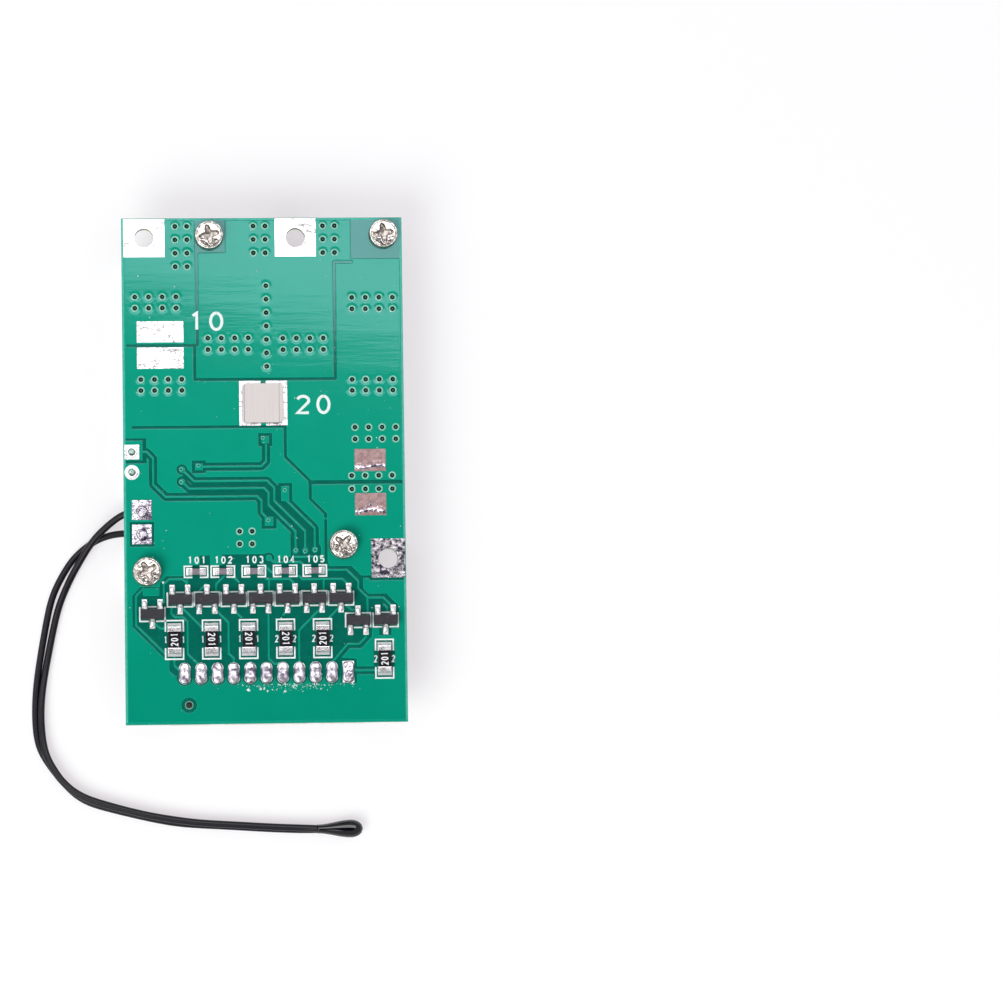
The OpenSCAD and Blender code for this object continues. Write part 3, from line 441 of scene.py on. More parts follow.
def brushed_paint(name, color, roughness, scale, metallic=1.0):
    """Metal with fine lines along Y, and a dark line of painted shade along its edges."""
    made, t = paint(name, ink(*color), roughness, metallic)
    lines = t.place(BRUSHED, Scale=scale)["Mask"]
    edge = t.place(EDGES, Radius=0.1 * mm)
    tone = t.blend(lines, shade(ink(*color), 0.84), shade(ink(*color), 1.12))
    # Painted shade: the colour darkens to a quarter where the edge rounds away.
    t.blend(t.both(edge["Lean"], 0.8), tone, shade(ink(*color), 0.25), t.color)
    t.spread(lines, 0.0, 1.0, roughness * 0.8, roughness * 1.2, t.rough)
    t.bump(lines, 0.002 * mm, t.normal, edge["Normal"])
    return made


def moulded_paint(name, color, roughness, grain=3000.0, relief=0.003, radius=0.05, scratch=0.0,
                  gloss=0.5):
    """Moulded plastic, rubber, ink or ceramic with a fine grain, and stray pale scratches."""
    made, t = paint(name, ink(*color), roughness)
    t.shine.default_value = gloss
    spots = blotches(t, grain, 0.25)
    tone = t.blend(spots["Mask"], shade(ink(*color), 0.82), shade(ink(*color), 1.15))
    if scratch:
        lines = t.place(SCUFFS, Scale=1500.0, Width=0.025, Cover=1 - scratch)["Mask"]
        tone = t.blend(t.both(lines, 0.7), tone, shade(ink(*color), 6.0))
    t.put(t.color, tone)
    t.spread(spots["Mask"], 0.0, 1.0, roughness * 0.88, min(1.0, roughness * 1.12), t.rough)
    t.grain(spots, relief, radius)
    return made


# --- new shapes


def piece(name, parts, material, slot, smooth=True, replaces=()):
    """One mesh from a list of (points, faces) in the frame. It rides on the board."""
    points, faces, start = [], [], 0
    for p, f in parts:
        points.append(p)
        faces += [[start + int(k) for k in face] for face in f]
        start += len(p)
    mesh = bpy.data.meshes.new(name)
    mesh.from_pydata(np.vstack(points).tolist(), [], faces)
    mesh.polygons.foreach_set("use_smooth", [smooth] * len(mesh.polygons))
    mesh.update()
    made = shown(name, mesh)
    mesh.materials.append(material)
    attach(made, "root")
    if replaces:
        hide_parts(*replaces)
    return made


def grid_faces(rows, columns, closed=False):
    """Quads of a grid of rows by columns, joined round at the last column if closed."""
    last = columns if closed else columns - 1
    i, k = np.meshgrid(np.arange(rows - 1), np.arange(last), indexing="ij")
    a, b = i * columns + k, i * columns + (k + 1) % columns
    return np.stack([a, b, b + columns, a + columns], -1).reshape(-1, 4).tolist()


def prism(outline, start, end, axis):
    """A closed outline carried straight from start to end: (y, z) along X for axis 0, (x, y)
    along Z for axis 2."""
    flat = np.asarray(outline, float)
    n = len(flat)
    ends = [np.insert(flat, axis, at, axis=1) for at in (start, end)]
    sides = [[k, (k + 1) % n, n + (k + 1) % n, n + k] for k in range(n)]
    return np.vstack(ends), sides + [list(range(n))[::-1], [n + k for k in range(n)]]


def box(start, end):
    (x0, y0, z0), (x1, y1, z1) = start, end
    return prism([(x0, y0), (x1, y0), (x1, y1), (x0, y1)], z0, z1, 2)


def lathe(profile, centre, sides=24, hollow=False):
    """A profile of (radius, height) in mm turned round Z through centre, closed by flat caps, or by
    joining the last row to the first if it is hollow."""
    radius, height = np.asarray(profile, float).T * mm
    turn = angles(sides)
    x, y = radius[:, None] * np.cos(turn), radius[:, None] * np.sin(turn)
    z = np.repeat(height[:, None], sides, 1)
    points = np.stack([x, y, z], -1).reshape(-1, 3) + np.asarray(centre, float)
    last = (len(profile) - 1) * sides
    faces = grid_faces(len(profile), sides, True)
    if hollow:
        faces += [[last + k, last + (k + 1) % sides, (k + 1) % sides, k] for k in range(sides)]
    else:
        faces += [list(range(sides))[::-1], [last + k for k in range(sides)]]
    return points, faces


UNDERSIDE = -0.02 * mm  # how far a relief's edge reaches into what it lies on


def dome(centre, height, half, rows=20, columns=40, power=2.0):
    """A surface over a rounded oblong (a superellipse): height(x, y, r) gives the height at share r
    of the way out. The rings crowd towards the edge, and a short skirt closes it to the land."""
    r = np.sin(np.linspace(0, math.pi / 2, rows))[1:, None]
    a = angles(columns)[None, :]
    edge = (np.abs(np.cos(a)) ** power + np.abs(np.sin(a)) ** power) ** (-1 / power)
    x, y = half[0] * r * edge * np.cos(a), half[1] * r * edge * np.sin(a)
    ring = np.stack([x, y, height(x, y, r + 0 * a)], -1)
    skirt = ring[-1:].copy()
    skirt[..., 2] = UNDERSIDE
    nought = np.zeros((1, 1))
    top = np.array([[0, 0, height(nought, nought, nought)[0, 0]]])
    points = np.vstack([top, np.vstack([ring, skirt]).reshape(-1, 3)]) + np.asarray(centre, float)
    fan = [[0, 1 + k, 1 + (k + 1) % columns] for k in range(columns)]
    walls = [[1 + k for k in face][::-1] for face in grid_faces(rows, columns, True)]
    under = [1 + (rows - 1) * columns + k for k in range(columns)][::-1]
    return points, fan + walls + [under]


def sheet(start, end, height, cells):
    """A relief over a rectangle: height(x, y, edge), where edge is the distance to the nearest
    side, closed down to a flat underside."""
    x = np.linspace(start[0], end[0], cells[0])[None, :]
    y = np.linspace(start[1], end[1], cells[1])[:, None]
    edge = np.minimum(np.minimum(x - start[0], end[0] - x), np.minimum(y - start[1], end[1] - y))
    heights = (height(x, y, edge), UNDERSIDE)
    top, under = (np.stack(np.broadcast_arrays(x, y, LAND_Z + h), -1) for h in heights)
    columns, rows = cells
    n = rows * columns
    faces = grid_faces(rows, columns)
    faces += [[n + k for k in f][::-1] for f in faces]
    g = np.arange(n).reshape(rows, columns)
    rim = np.concatenate([g[0], g[1:, -1], g[-1, -2::-1], g[-2:0:-1, 0]]).tolist()
    faces += [[b, a, n + a, n + b] for a, b in zip(rim, rim[1:] + rim[:1])]
    return np.vstack([top.reshape(-1, 3), under.reshape(-1, 3)]), faces


def wetted_land(x, y, half_x, half_y, height, cells):
    """A rectangular land with a relief of solder over it."""
    start, end = (x - half_x, y - half_y), (x + half_x, y + half_y)
    return [sheet(start, end, height, cells), box((*start, BARE_Z), (*end, LAND_Z))]


def soften(made, width, segments=2):
    """Rounds a piece's sharp edges."""
    mod = made.modifiers.new("soft_edges", "BEVEL")
    mod.width, mod.segments = width, segments
    mod.limit_method = "ANGLE"
    mod.angle_limit = math.radians(35)


def middle(node):
    start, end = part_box(node)
    return (np.array(start) + np.array(end)) / 2


def angles(count):
    return np.linspace(0, 2 * math.pi, count, endpoint=False)


def unit(value):
    return np.clip(value, 0, 1)


def bell(value, width):
    """One at nought, falling away on both sides within about the width."""
    return np.exp(-(value / width) ** 2)


def lumps(x, y, seed, size, count=9):
    """Lumpy relief from -1 to 1: sine waves of random direction and phase, about size mm apart."""
    rng = np.random.default_rng(seed)
    total = np.zeros(np.broadcast(x, y).shape)
    for _ in range(count):
        turn, phase = rng.uniform(0, 2 * math.pi), rng.uniform(0, 2 * math.pi)
        pace = 2 * math.pi * rng.uniform(0.6, 1.7) / (size * mm)
        total += np.sin(pace * (x * math.cos(turn) + y * math.sin(turn)) + phase)
    return total / count * 1.6


# --- the lead

# Points of each conductor from its joint to the bead, in mm
ROUTE_A = [
    (-15.05, -7.8, 6.3), (-15.15, -7.75, 5.2), (-15.7, -7.6, 4.1), (-16.7, -7.4, 3.3),
    (-18, -7.4, 2.5), (-19.5, -7.65, 1.6), (-21.05, -8.3, 0.8), (-22.4, -9.3, 0.46),
    (-23.65, -10.5, 0.44), (-24.85, -12.35, 0.44), (-25.85, -14.3, 0.44), (-26.5, -16.3, 0.44),
    (-27.1, -19.3, 0.44), (-27.8, -23.3, 0.44), (-28.2, -26.3, 0.44), (-28.35, -29.2, 0.44),
    (-28.2, -32.2, 0.44), (-27.6, -34.2, 0.44), (-26.6, -35.8, 0.44), (-25.5, -37.3, 0.44),
    (-24.5, -38.4, 0.44), (-22.6, -40.15, 0.44), (-19.7, -41.1, 0.44), (-16.7, -41.9, 0.44),
    (-13.75, -42.6, 0.44), (-10.8, -43.15, 0.44), (-7.8, -43.4, 0.44), (-3.85, -43.65, 0.44),
    (0.1, -43.95, 0.44), (4.1, -44.15, 0.46), (6.25, -44.15, 0.68)]
ROUTE_B = [
    (-15.05, -5, 6.3), (-15.15, -4.95, 5.2), (-15.7, -4.85, 4.2), (-16.7, -4.85, 3.5),
    (-17.95, -5.4, 3), (-19.3, -6.45, 2.6), (-20.5, -7.55, 2.2), (-21.5, -8.8, 1.75),
    (-22.55, -10.45, 1.2), (-23.75, -12.5, 0.6), (-24.6, -14.35, 0.44), (-25.4, -16.35, 0.44),
    (-26.1, -19.3, 0.44), (-26.9, -23.3, 0.5), (-27.4, -26.25, 0.74), (-27.65, -29.25, 0.94),
    (-27.5, -32.2, 0.99), (-27.1, -34.3, 1.19), (-26.4, -35.8, 1.32), (-25.5, -37.2, 1.36),
    (-24.55, -38.3, 1.35), (-22.7, -39.7, 1.27), (-19.75, -40.7, 1.27), (-16.8, -41.55, 1.28),
    (-13.8, -42.25, 1.28), (-10.85, -42.75, 1.28), (-7.9, -43.15, 1.3), (-3.95, -43.4, 1.31),
    (0.05, -43.7, 1.31), (4, -43.9, 1.33), (6.25, -44, 1.58)]
LEAD_WIDTH = 0.86 * mm


def smooth_route(points, steps=8, window=11):
    """A smooth line near given points: a cubic on each stretch, with end slopes from its
    neighbours, then a running mean along the line that keeps both ends."""
    p = np.asarray(points, float) * mm
    padded = np.vstack([p[0], p, p[-1]])
    t = np.linspace(0, 1, steps, endpoint=False)[:, None]
    stretches = [0.5 * (2 * b + (c - a) * t + (2 * a - 5 * b + 4 * c - d) * t**2
                        + (3 * b - a - 3 * c + d) * t**3)
                 for a, b, c, d in zip(padded, padded[1:], padded[2:], padded[3:])]
    line = np.vstack(stretches + [p[-1:]])
    half = window // 2
    wide = np.vstack([np.repeat(line[:1], half, 0), line, np.repeat(line[-1:], half, 0)])
    share = np.ones(window) / window
    mean = np.stack([np.convolve(wide[:, k], share, "valid") for k in range(3)], -1)
    count = np.arange(len(line))
    ease = unit(np.minimum(count, count[::-1]) / (2 * half))[:, None]
    return line * (1 - ease) + mean * ease


def conductor(name, route, node):
    """One insulated conductor: a round tube along its route."""
    line = smooth_route(route)
    data = bpy.data.curves.new(name, "CURVE")
    data.dimensions = "3D"
    data.bevel_depth = LEAD_WIDTH / 2
    data.bevel_resolution = 4
    data.use_fill_caps = True
    spline = data.splines.new("POLY")
    spline.points.add(len(line) - 1)
    spline.points.foreach_set("co", np.hstack([line, np.ones((len(line), 1))]).ravel())
    spline.use_smooth = True
    made = shown(name, data)
    data.materials.append(JACKET)
    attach(made, "root")
    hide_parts(node)
    tuple(line[0])


def sensor_bead():
    """A drop of epoxy along X: an ellipse across, which grows by a cosine from the mouth to its
    widest place, then closes as a quarter circle."""
    start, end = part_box("sensor_bead")
    mid = middle("sensor_bead")
    rows, columns = 30, 40
    widest = 0.74  # share of the length
    t = np.linspace(0, 1, rows)[:, None]
    turn = angles(columns)[None, :]
    grow = (1 - np.cos(np.pi * unit(t / widest))) / 2
    shut = np.sqrt(np.clip(1 - unit((t - widest) / (1 - widest)) ** 2, 0.0004, 1))
    wide, tall = (0.56 + 0.54 * grow) * mm * shut, (0.86 + 0.2 * grow) * mm * shut
    x = start.x + t * (end.x - start.x) + 0 * turn
    points = np.stack([x, mid[1] + wide * np.cos(turn), mid[2] + tall * np.sin(turn)], -1)
    last = (rows - 1) * columns
    faces = grid_faces(rows, columns, True)
    faces += [list(range(columns))[::-1], [last + k for k in range(columns)]]
    return piece("epoxy_bead", [(points.reshape(-1, 3), faces)], EPOXY, "bead_epoxy",
                 replaces=["sensor_bead"])


# --- holes, screws and solder

# Groups of vias: the first one's place, the steps in mm, and how many across and down
VIA_GROUPS = [
    (left(6.59), high(1), 1.46, -1.66, 2, 4), (-1.05 * mm, high(1), 1.46, -1.66, 2, 3),
    (7.5 * mm, high(1), 1.46, -1.66, 2, 3), (left(1.6), 21.4 * mm, 1.68, -1.38, 4, 2),
    (right(6.25), 21.2 * mm, 1.67, -1.42, 4, 2), (0.44 * mm, 22.7 * mm, 0, -1.66, 1, 7),
    (-6.75 * mm, 16.28 * mm, 1.65, -1.42, 4, 2), (2.46 * mm, 16.2 * mm, 1.66, -1.42, 4, 2),
    (left(2.25), 11.22 * mm, 1.67, -1.36, 4, 2), (right(6.33), 11.06 * mm, 1.67, -1.36, 4, 2),
    (right(6.05), low(36.25), 1.67, -1.46, 4, 2), (right(6.53), low(30.3), 1.66, -1.66, 4, 2),
    (-3.12 * mm, low(23.56), 1.54, -1.55, 2, 2)]
VIAS = [(x + i * across * mm, y + j * down * mm, (i + j) % 2)
        for x, y, across, down, columns, rows in VIA_GROUPS
        for i in range(columns) for j in range(rows)]
RING_VIA = (-9.5 * mm, -28.75 * mm)


def vias():
    """Plated holes: a rounded crown of thin mask on a barrel plugged just below the face."""
    crown = [(0.475, 0.002), (0.43, 0.026), (0.36, 0.03), (0.29, 0.004), (0.25, -0.12),
             (0.12, -0.2), (0.02, -0.22), (0.02, -0.5), (0.24, -1.55), (0.295, -1.55), (0.295, 0.0)]
    holes = [lathe(crown, (x, y, MASK_Z), 20, True) for x, y, _ in VIAS]
    ring = [(0.54, 0.002), (0.5, 0.03), (0.42, 0.03), (0.37, -0.02), (0.35, -1.5), (0.395, -1.5),
            (0.395, 0)]
    holes.append(lathe(ring, (*RING_VIA, BARE_Z), 28, True))
    piece("via_crowns", holes, VIA, "via_tin", True, ["via_plating"])


def mask_dimples():
    """Thin rings of mask round the upper vias, where it sinks towards the hole. The UV map holds
    the place from the via's middle, as a share of the reach. Every second ring lies a little
    higher, so that rings that overlap don't coincide."""
    reach, lowest_ring = 0.8 * mm, 9 * mm
    rings, spots = [], []
    turn = angles(28)
    n = len(turn)
    for x, y, odd in VIAS:
        if y < lowest_ring:
            continue
        outer = min(reach, high(0.32) - y)
        radius = np.array([0.46 * mm, outer, outer, 0.46 * mm])[:, None]
        height = (np.array([0.0015, 0.0015, -0.01, -0.01])[:, None] + 0.001 * odd) * mm + 0 * turn
        flat = np.stack([radius * np.cos(turn), radius * np.sin(turn)], -1)
        ring = np.concatenate([flat + (x, y), (MASK_Z + height)[..., None]], -1)
        faces = [f[::-1] for f in grid_faces(4, n, True)]
        faces += [[k, (k + 1) % n, 3 * n + (k + 1) % n, 3 * n + k] for k in range(n)]
        rings.append((ring.reshape(-1, 3), faces))
        spots.append((flat / reach).reshape(-1, 2))
    made = piece("mask_dimples", rings, DIMPLE, "board_laminate", False)
    layer = made.data.uv_layers.new(name="from_middle")
    corners = np.empty(len(made.data.loops), np.int32)
    made.data.loops.foreach_get("vertex_index", corners)
    layer.data.foreach_set("uv", np.vstack(spots)[corners].ravel())


def tented_spots():
    """Small sunk holes under the mask at the ends of the fine tracks."""
    places = [(-8.07, 0.59), (-0.17, 3.91), (2.46, -2.55), (0.41, -6.23), (3.72, -9.94),
              (4.88, -10.07), (6.09, -9.93), (-10.21, 0.11), (-10.23, -1.46)]
    profile = [(0.27, -0.003), (0.25, 0.007), (0.17, 0.012), (0.13, 0.004), (0.05, 0.002)]
    spots = [lathe(profile, (x * mm, y * mm, MASK_Z), 18) for x, y in places]
    piece("tented_spots", spots, TENTED, "board_laminate", True)


# x, y, what the head sits on, how far the recess is turned in degrees, and how lumpy the skin is
SCREWS = [(left(10.75), high(2.2), BARE_Z, 14, 0.016), (right(2.3), high(2.1), BARE_Z, 10, 0.016),
          (right(7.67), low(21.8), MASK_Z, 50, 0.03), (left(2.79), low(18.7), MASK_Z, 28, 0.03)]
HEAD_R = 1.8 * mm


def screws():
    """Pan heads with a cross recess: a slightly crowned top less four arms that narrow to round
    ends, with sloping walls."""
    heads, shanks = [], []
    for n, (x0, y0, seat, turn, lumpy) in enumerate(SCREWS):
        c, s = math.cos(math.radians(turn)), math.sin(math.radians(turn))

        def height(x, y, r):
            top = 1.3 + 0.2 * (1 - r**2)
            side = unit(1 - r**26) ** 0.5
            u, v = np.abs(x * c + y * s) / mm, np.abs(y * c - x * s) / mm
            far, near = np.maximum(u, v), np.minimum(u, v)
            width = (0.44 - 0.1 * far / 1.2) * np.sqrt(unit(1 - (far / 1.28) ** 6))
            arm = unit((width - near) / 0.16)
            hub = unit((0.62 - np.hypot(u, v)) / 0.25)
            cut = np.maximum(arm * arm * (3 - 2 * arm), hub)
            depth = 0.5 + 0.35 * unit(1 - far / 0.8)
            skin = lumpy * lumps(x, y, 70 + n, 0.5) * (1 - r**6)
            return (top * side - cut * depth - 0.1 * bell(r - 0.87, 0.04) + skin) * mm

        heads.append(dome((x0, y0, seat), height, (HEAD_R, HEAD_R), 46, 96))
        under_board = [(0.92, -5.6), (1.0, -5.4), (1.0, 0.1 + (seat - BOARD_BOTTOM) / mm)]
        shanks.append(lathe(under_board, (x0, y0, BOARD_BOTTOM), 28))
    piece("screw_heads", heads, NICKEL, "screw_nickel", True, ["clamp_screws"])
    piece("screw_shanks", shanks, NICKEL, "screw_nickel")


def link_pads():
    """Two pads with the torn remains of a soldered link: a dull skin, and a ridge of bright solder
    along the lower edge. Only the lower pad (n is 1) has a crease and a drop."""
    parts = []
    half_x, half_y = 3.85 / 2 * mm, 2.72 / 2 * mm
    x0 = right(4.25)
    for n, y0 in enumerate((low(32.2), low(26.75))):

        def height(x, y, edge):
            u, v = (x - x0) / half_x, (y - y0) / half_y
            line = -0.6 + 0.12 * np.sin(3.1 * u + 1.3 * n) + 0.06 * lumps(x, y, 5 + n, 0.8)
            ridge = bell(v - line, 0.16) * (0.75 + 0.35 * lumps(x, y, 9 + n, 0.55))
            second = bell(v - line - 0.32, 0.1) * unit(lumps(x, y, 15 + n, 0.6) + 0.2)
            crease = bell(v - 0.28 - 0.05 * lumps(x, y, 21, 1.1), 0.05) * n
            drop = bell(u + 0.05, 0.08) * bell(v - 0.02, 0.12) * n
            skin = 0.01 * (1 + lumps(x, y, 30 + n, 0.5))
            z = skin + 0.1 * ridge + 0.06 * second - 0.05 * crease + 0.12 * drop
            return np.maximum(z, 0.001) * mm * np.clip(edge / (0.07 * mm), 0.05, 1)

        parts += wetted_land(x0, y0, half_x, half_y, height, (110, 80))
    piece("link_pad_solder", parts, LINK_PAD, "pad_solder", True, ["solder_pads"])


def lead_joints():
    """Each lead land is wetted to its edges, with a raised ring of solder round the cut end of the
    strand. The strand of the first sits a little off its land's middle."""
    parts = []
    x0, half = left(2.2), 2.45 / 2 * mm
    for n, (y0, hole) in enumerate(((low(26.3), low(26.1)), (low(23.3), low(23.3)))):

        def height(x, y, edge):
            r = np.hypot(x - x0, y - hole) / mm
            ring = 0.2 * bell(r - 0.5, 0.17) * (1 + 0.25 * lumps(x, y, 41 + n, 0.6))
            stub = 0.13 * bell(r, 0.2) + 0.1 * bell(r, 0.8)
            skin = 0.05 + 0.03 * lumps(x, y, 45 + n, 0.42) + 0.02 * lumps(x, y, 55 + n, 0.22)
            rise = np.clip(edge / (0.16 * mm), 0.03, 1) ** 0.6
            return np.maximum(skin + ring + stub, 0.002) * mm * rise

        parts += wetted_land(x0, y0, half, half, height, (84, 84))
        strand = [(0.25, 0), (0.25, (BARE_Z - BOARD_BOTTOM) / mm)]
        parts.append(lathe(strand, (x0, hole, BOARD_BOTTOM), 20))
    piece("lead_solder", parts, LEAD_SOLDER, "joint_solder", True, ["lead_joints"])


def pin_joints():
    """Eleven solder humps: two blended domes over each pin, the lower one fuller. The last hump is
    square and rough."""
    start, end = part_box("header_joints")
    pins, half_w = 11, 0.71 * mm
    pitch = (end.x - start.x - 2 * half_w) / (pins - 1)
    y0 = (start.y + end.y) / 2
    turn = angles(32) + 0.001
    c, s = np.cos(turn), np.sin(turn)
    oblong = np.stack([half_w * c, np.sign(s) * 0.6 * mm + half_w * s], -1)
    square = np.array([(-1, -1), (1, -1), (1, 1), (-1, 1)]) * (half_w, 1.31 * mm)
    humps, lands = [], []
    for i in range(pins):
        x0 = start.x + half_w + i * pitch
        last = i == pins - 1
        rng = np.random.default_rng(40 + i)
        full, thin = rng.uniform(0.9, 1.08), rng.uniform(0.85, 1.05)
        lean, tip = rng.uniform(-0.1, 0.1), rng.uniform(0, 0.1)

        def height(x, y, r):
            u, v = x / mm, y / mm
            lower = unit(1 - (u / 0.8) ** 2 - ((v + 0.52) / 0.95) ** 2) ** 0.5 * 0.44 * full
            upper = unit(1 - (u / (0.66 + tip)) ** 2 - ((v - 0.5) / 0.95) ** 2) ** 0.5 * 0.4 * thin
            hump = 0.3 * unit(1 - r**5) ** 0.6 if last else (lower**5 + upper**5) ** 0.2
            grit = (0.05 if last else 0.014) * lumps(x, y, 80 + i, 0.34 if last else 0.55)
            z = hump * (1 + lean * u) + 0.03 + grit * (1 - r**8)
            return z * mm * np.clip((1 - r) / 0.06, 0.02, 1) ** 0.5

        power = 4.5 if last else 2.6
        humps.append(dome((x0, y0, LAND_Z), height, (half_w, 1.28 * mm), 26, 48, power))
        lands.append(prism((square if last else oblong) + (x0, y0), BARE_Z, LAND_Z, 2))
    piece("joint_lands", lands, LAND_TIN, "pad_tin", False, ["header_joints"])
    piece("joint_solder", humps, JOINT_SOLDER, "joint_solder")


def test_holes():
    """Solder and mask left in the two test holes, a shallow dish each, with a raised silver lip."""
    spots = [(left(1.05), y, LAND_Z) for y in (low(33.4), low(30.9))]

    def dish(x, y, r):
        return (-0.09 + 0.07 * r**2 + 0.03 * lumps(x, y, 3, 0.3)) * mm

    fills = [dome(at, dish, (0.46 * mm, 0.46 * mm), 12, 28) for at in spots]
    piece("test_hole_fill", fills, HOLE_FILL, "pad_tin")
    lip = [(0.44, -0.05), (0.68, -0.01), (0.68, 0.0), (0.58, 0.035), (0.5, 0.03), (0.44, -0.04)]
    piece("test_land_lips", [lathe(lip, at, 32, True) for at in spots], LEG_TIN, "pad_tin")


# --- small parts on the solder side

PAIR_ABOVE = (1, 2, 4, 6, 8, 10)  # transistors with two legs on their upper side
LEG_GAP = 1.9 * mm
LEG_WIDTH = 0.4 * mm
BODY_W = 1.3 * mm


def transistors():
    """Ten moulded bodies with drafted sides, their gull-wing legs, and a fillet of solder on each
    foot. bend is a leg seen from the side, in mm from the body's side and the foot."""
    bodies, legs, fillets = [], [], []
    half, draft = BODY_W / 2, 0.07 * mm
    names = numbered("transistor", 10)
    for n, name in enumerate(names, 1):
        start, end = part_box(name)
        x0, y0, _ = middle(name)
        foot, waist, top = start.z, start.z + 0.5 * mm, end.z
        slope = [(half - draft, foot + 0.1 * mm), (half, waist), (half - 1.4 * draft, top)]
        side = [(y0 + a, b) for a, b in slope] + [(y0 - a, b) for a, b in slope[::-1]]
        bodies.append(prism(side, start.x, end.x, 0))
        up = 1 if n in PAIR_ABOVE else -1
        reach = end.y - y0
        tip = (reach - half) / mm
        bend = np.array([(-0.1, 0.52), (0.1, 0.52), (0.22, 0.3), (0.3, 0.04), (0.36, 0), (tip, 0),
                         (tip, 0.14), (0.42, 0.14), (0.35, 0.4), (0.24, 0.66), (-0.1, 0.66)])
        for k, (at, way) in enumerate(((-LEG_GAP / 2, up), (LEG_GAP / 2, up), (0, -up))):
            outline = ((bend * mm + (half, 0)) * (way, 1) + (y0, foot))[::way]
            legs.append(prism(outline, x0 + at - LEG_WIDTH / 2, x0 + at + LEG_WIDTH / 2, 0))

            def height(x, y, r):
                lumpy = 0.03 * lumps(x, y, 10 * n + k, 0.35) * (1 - r**4)
                return np.maximum(0.2 * (1 - r**1.6) + lumpy, 0.004) * mm

            toe = (x0 + at, y0 + way * (reach - 0.06 * mm), LAND_Z)
            fillets.append(dome(toe, height, (0.31 * mm, 0.44 * mm), 10, 24, 3.2))
    made = piece("transistor_bodies", bodies, BODY_BLACK, "chip_black", False, names)
    soften(made, 0.05 * mm)
    soften(piece("transistor_legs", legs, LEG_TIN, "pad_tin", False), 0.025 * mm, 1)
    piece("transistor_fillets", fillets, LEG_TIN, "joint_solder")


def capped_blocks(name, nodes, cap, film, slot):
    """Ceramic blocks with a film between metal caps at the two ends of the long side."""
    blocks, caps = [], []
    for node in nodes:
        start, end = (np.array(p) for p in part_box(node))
        long = int(end[1] - start[1] > end[0] - start[0])
        inset = np.array([0.03, 0.03, 0.0]) * mm
        inset[long] = cap * 0.9
        blocks.append(box(start + inset, end - inset - (0, 0, 0.02 * mm)))
        near, far = end.copy(), start.copy()
        near[long], far[long] = start[long] + cap, end[long] - cap
        caps += [box(start, near), box(far, end)]
    soften(piece(name + "_blocks", blocks, film, slot, False, nodes), 0.04 * mm)
    soften(piece(name + "_caps", caps, CAP_TIN, "pad_tin", False), 0.07 * mm, 3)


# --- printed figures and outlines

# Width and height of a figure, the pen's width, and the gap to the next figure, in mm
AREA_FIGURES = (1.75, 2.4, 0.36, 0.75)
PART_FIGURES = (0.56, 0.92, 0.17, 0.26)
SIDE_FIGURES = (0.44, 0.9, 0.15, 0)
BODY_FIGURES = (0.44, 0.92, 0.14, 0.13)
PEN = 0.19 * mm


def arc(cx, cy, rx, ry, start, end, n=10):
    t = np.radians(np.linspace(start, end, n))
    return np.stack([cx + rx * np.cos(t), cy + ry * np.sin(t)], -1).tolist()


# Each figure is a few strokes on a box one wide and two high, with arcs of ellipses
STROKES = {
    0: [arc(0, 0, 0.5, 1, 90, 450, 25)],
    1: [[(-0.28, 0.68), (0.08, 1), (0.08, -1)]],
    2: [arc(0, 0.5, 0.5, 0.5, 165, -40) + [(-0.5, -1), (0.5, -1)]],
    3: [arc(0, 0.5, 0.45, 0.5, 150, -90) + arc(0, -0.5, 0.5, 0.5, 90, -150)],
    4: [[(0.2, -1), (0.2, 1), (-0.5, -0.35), (0.5, -0.35)]],
    5: [[(0.42, 1), (-0.38, 1), (-0.44, 0.12)] + arc(-0.02, -0.35, 0.52, 0.6, 125, -150)],
}


def figures(numbers, centre, sizes, turn=0.0):
    """Plain figures drawn with a round pen, as (line, width) pairs."""
    width, height, stroke, gap = np.array(sizes) * mm
    c, s = math.cos(turn), math.sin(turn)
    lines = []
    for i, n in enumerate(numbers):
        shift = (i - (len(numbers) - 1) / 2) * (width + gap)
        for line in STROKES[n]:
            p = np.array(line) * (width - stroke, (height - stroke) / 2) + (shift, 0)
            lines.append((p @ np.array([[c, s], [-s, c]]) + centre, stroke))
    return lines


def ribbons(lines, start, end):
    """Flat strokes with height: each line is widened to both sides along its mitred normal."""
    parts = []
    for line, width in lines:
        p = np.asarray(line, float)
        along = np.diff(p, axis=0)
        along /= np.linalg.norm(along, axis=1)[:, None]
        out = np.stack([-along[:, 1], along[:, 0]], -1)
        first, last = np.vstack([out[:1], out]), np.vstack([out, out[-1:]])
        mid = first + last
        mid /= np.maximum(np.linalg.norm(mid, axis=1)[:, None], 1e-9)
        reach = (width / 2 / np.clip((mid * first).sum(1), 0.5, 1))[:, None]
        n = len(p)
        flat = np.vstack([p + mid * reach, p - mid * reach])
        points = np.vstack([np.insert(flat, 2, z, axis=1) for z in (start, end)])
        k = np.arange(n - 1)[:, None]
        strips = np.vstack([k + (2 * n, 3 * n, 3 * n + 1, 2 * n + 1), k + (0, 2 * n, 2 * n + 1, 1),
                            k + (n + 1, 3 * n + 1, 3 * n, n), k + (1, n + 1, n, 0)]).tolist()
        ends = [[n, 3 * n, 2 * n, 0], [2 * n - 1, 4 * n - 1, 3 * n - 1, n - 1]]
        parts.append((points, strips + ends))
    return parts


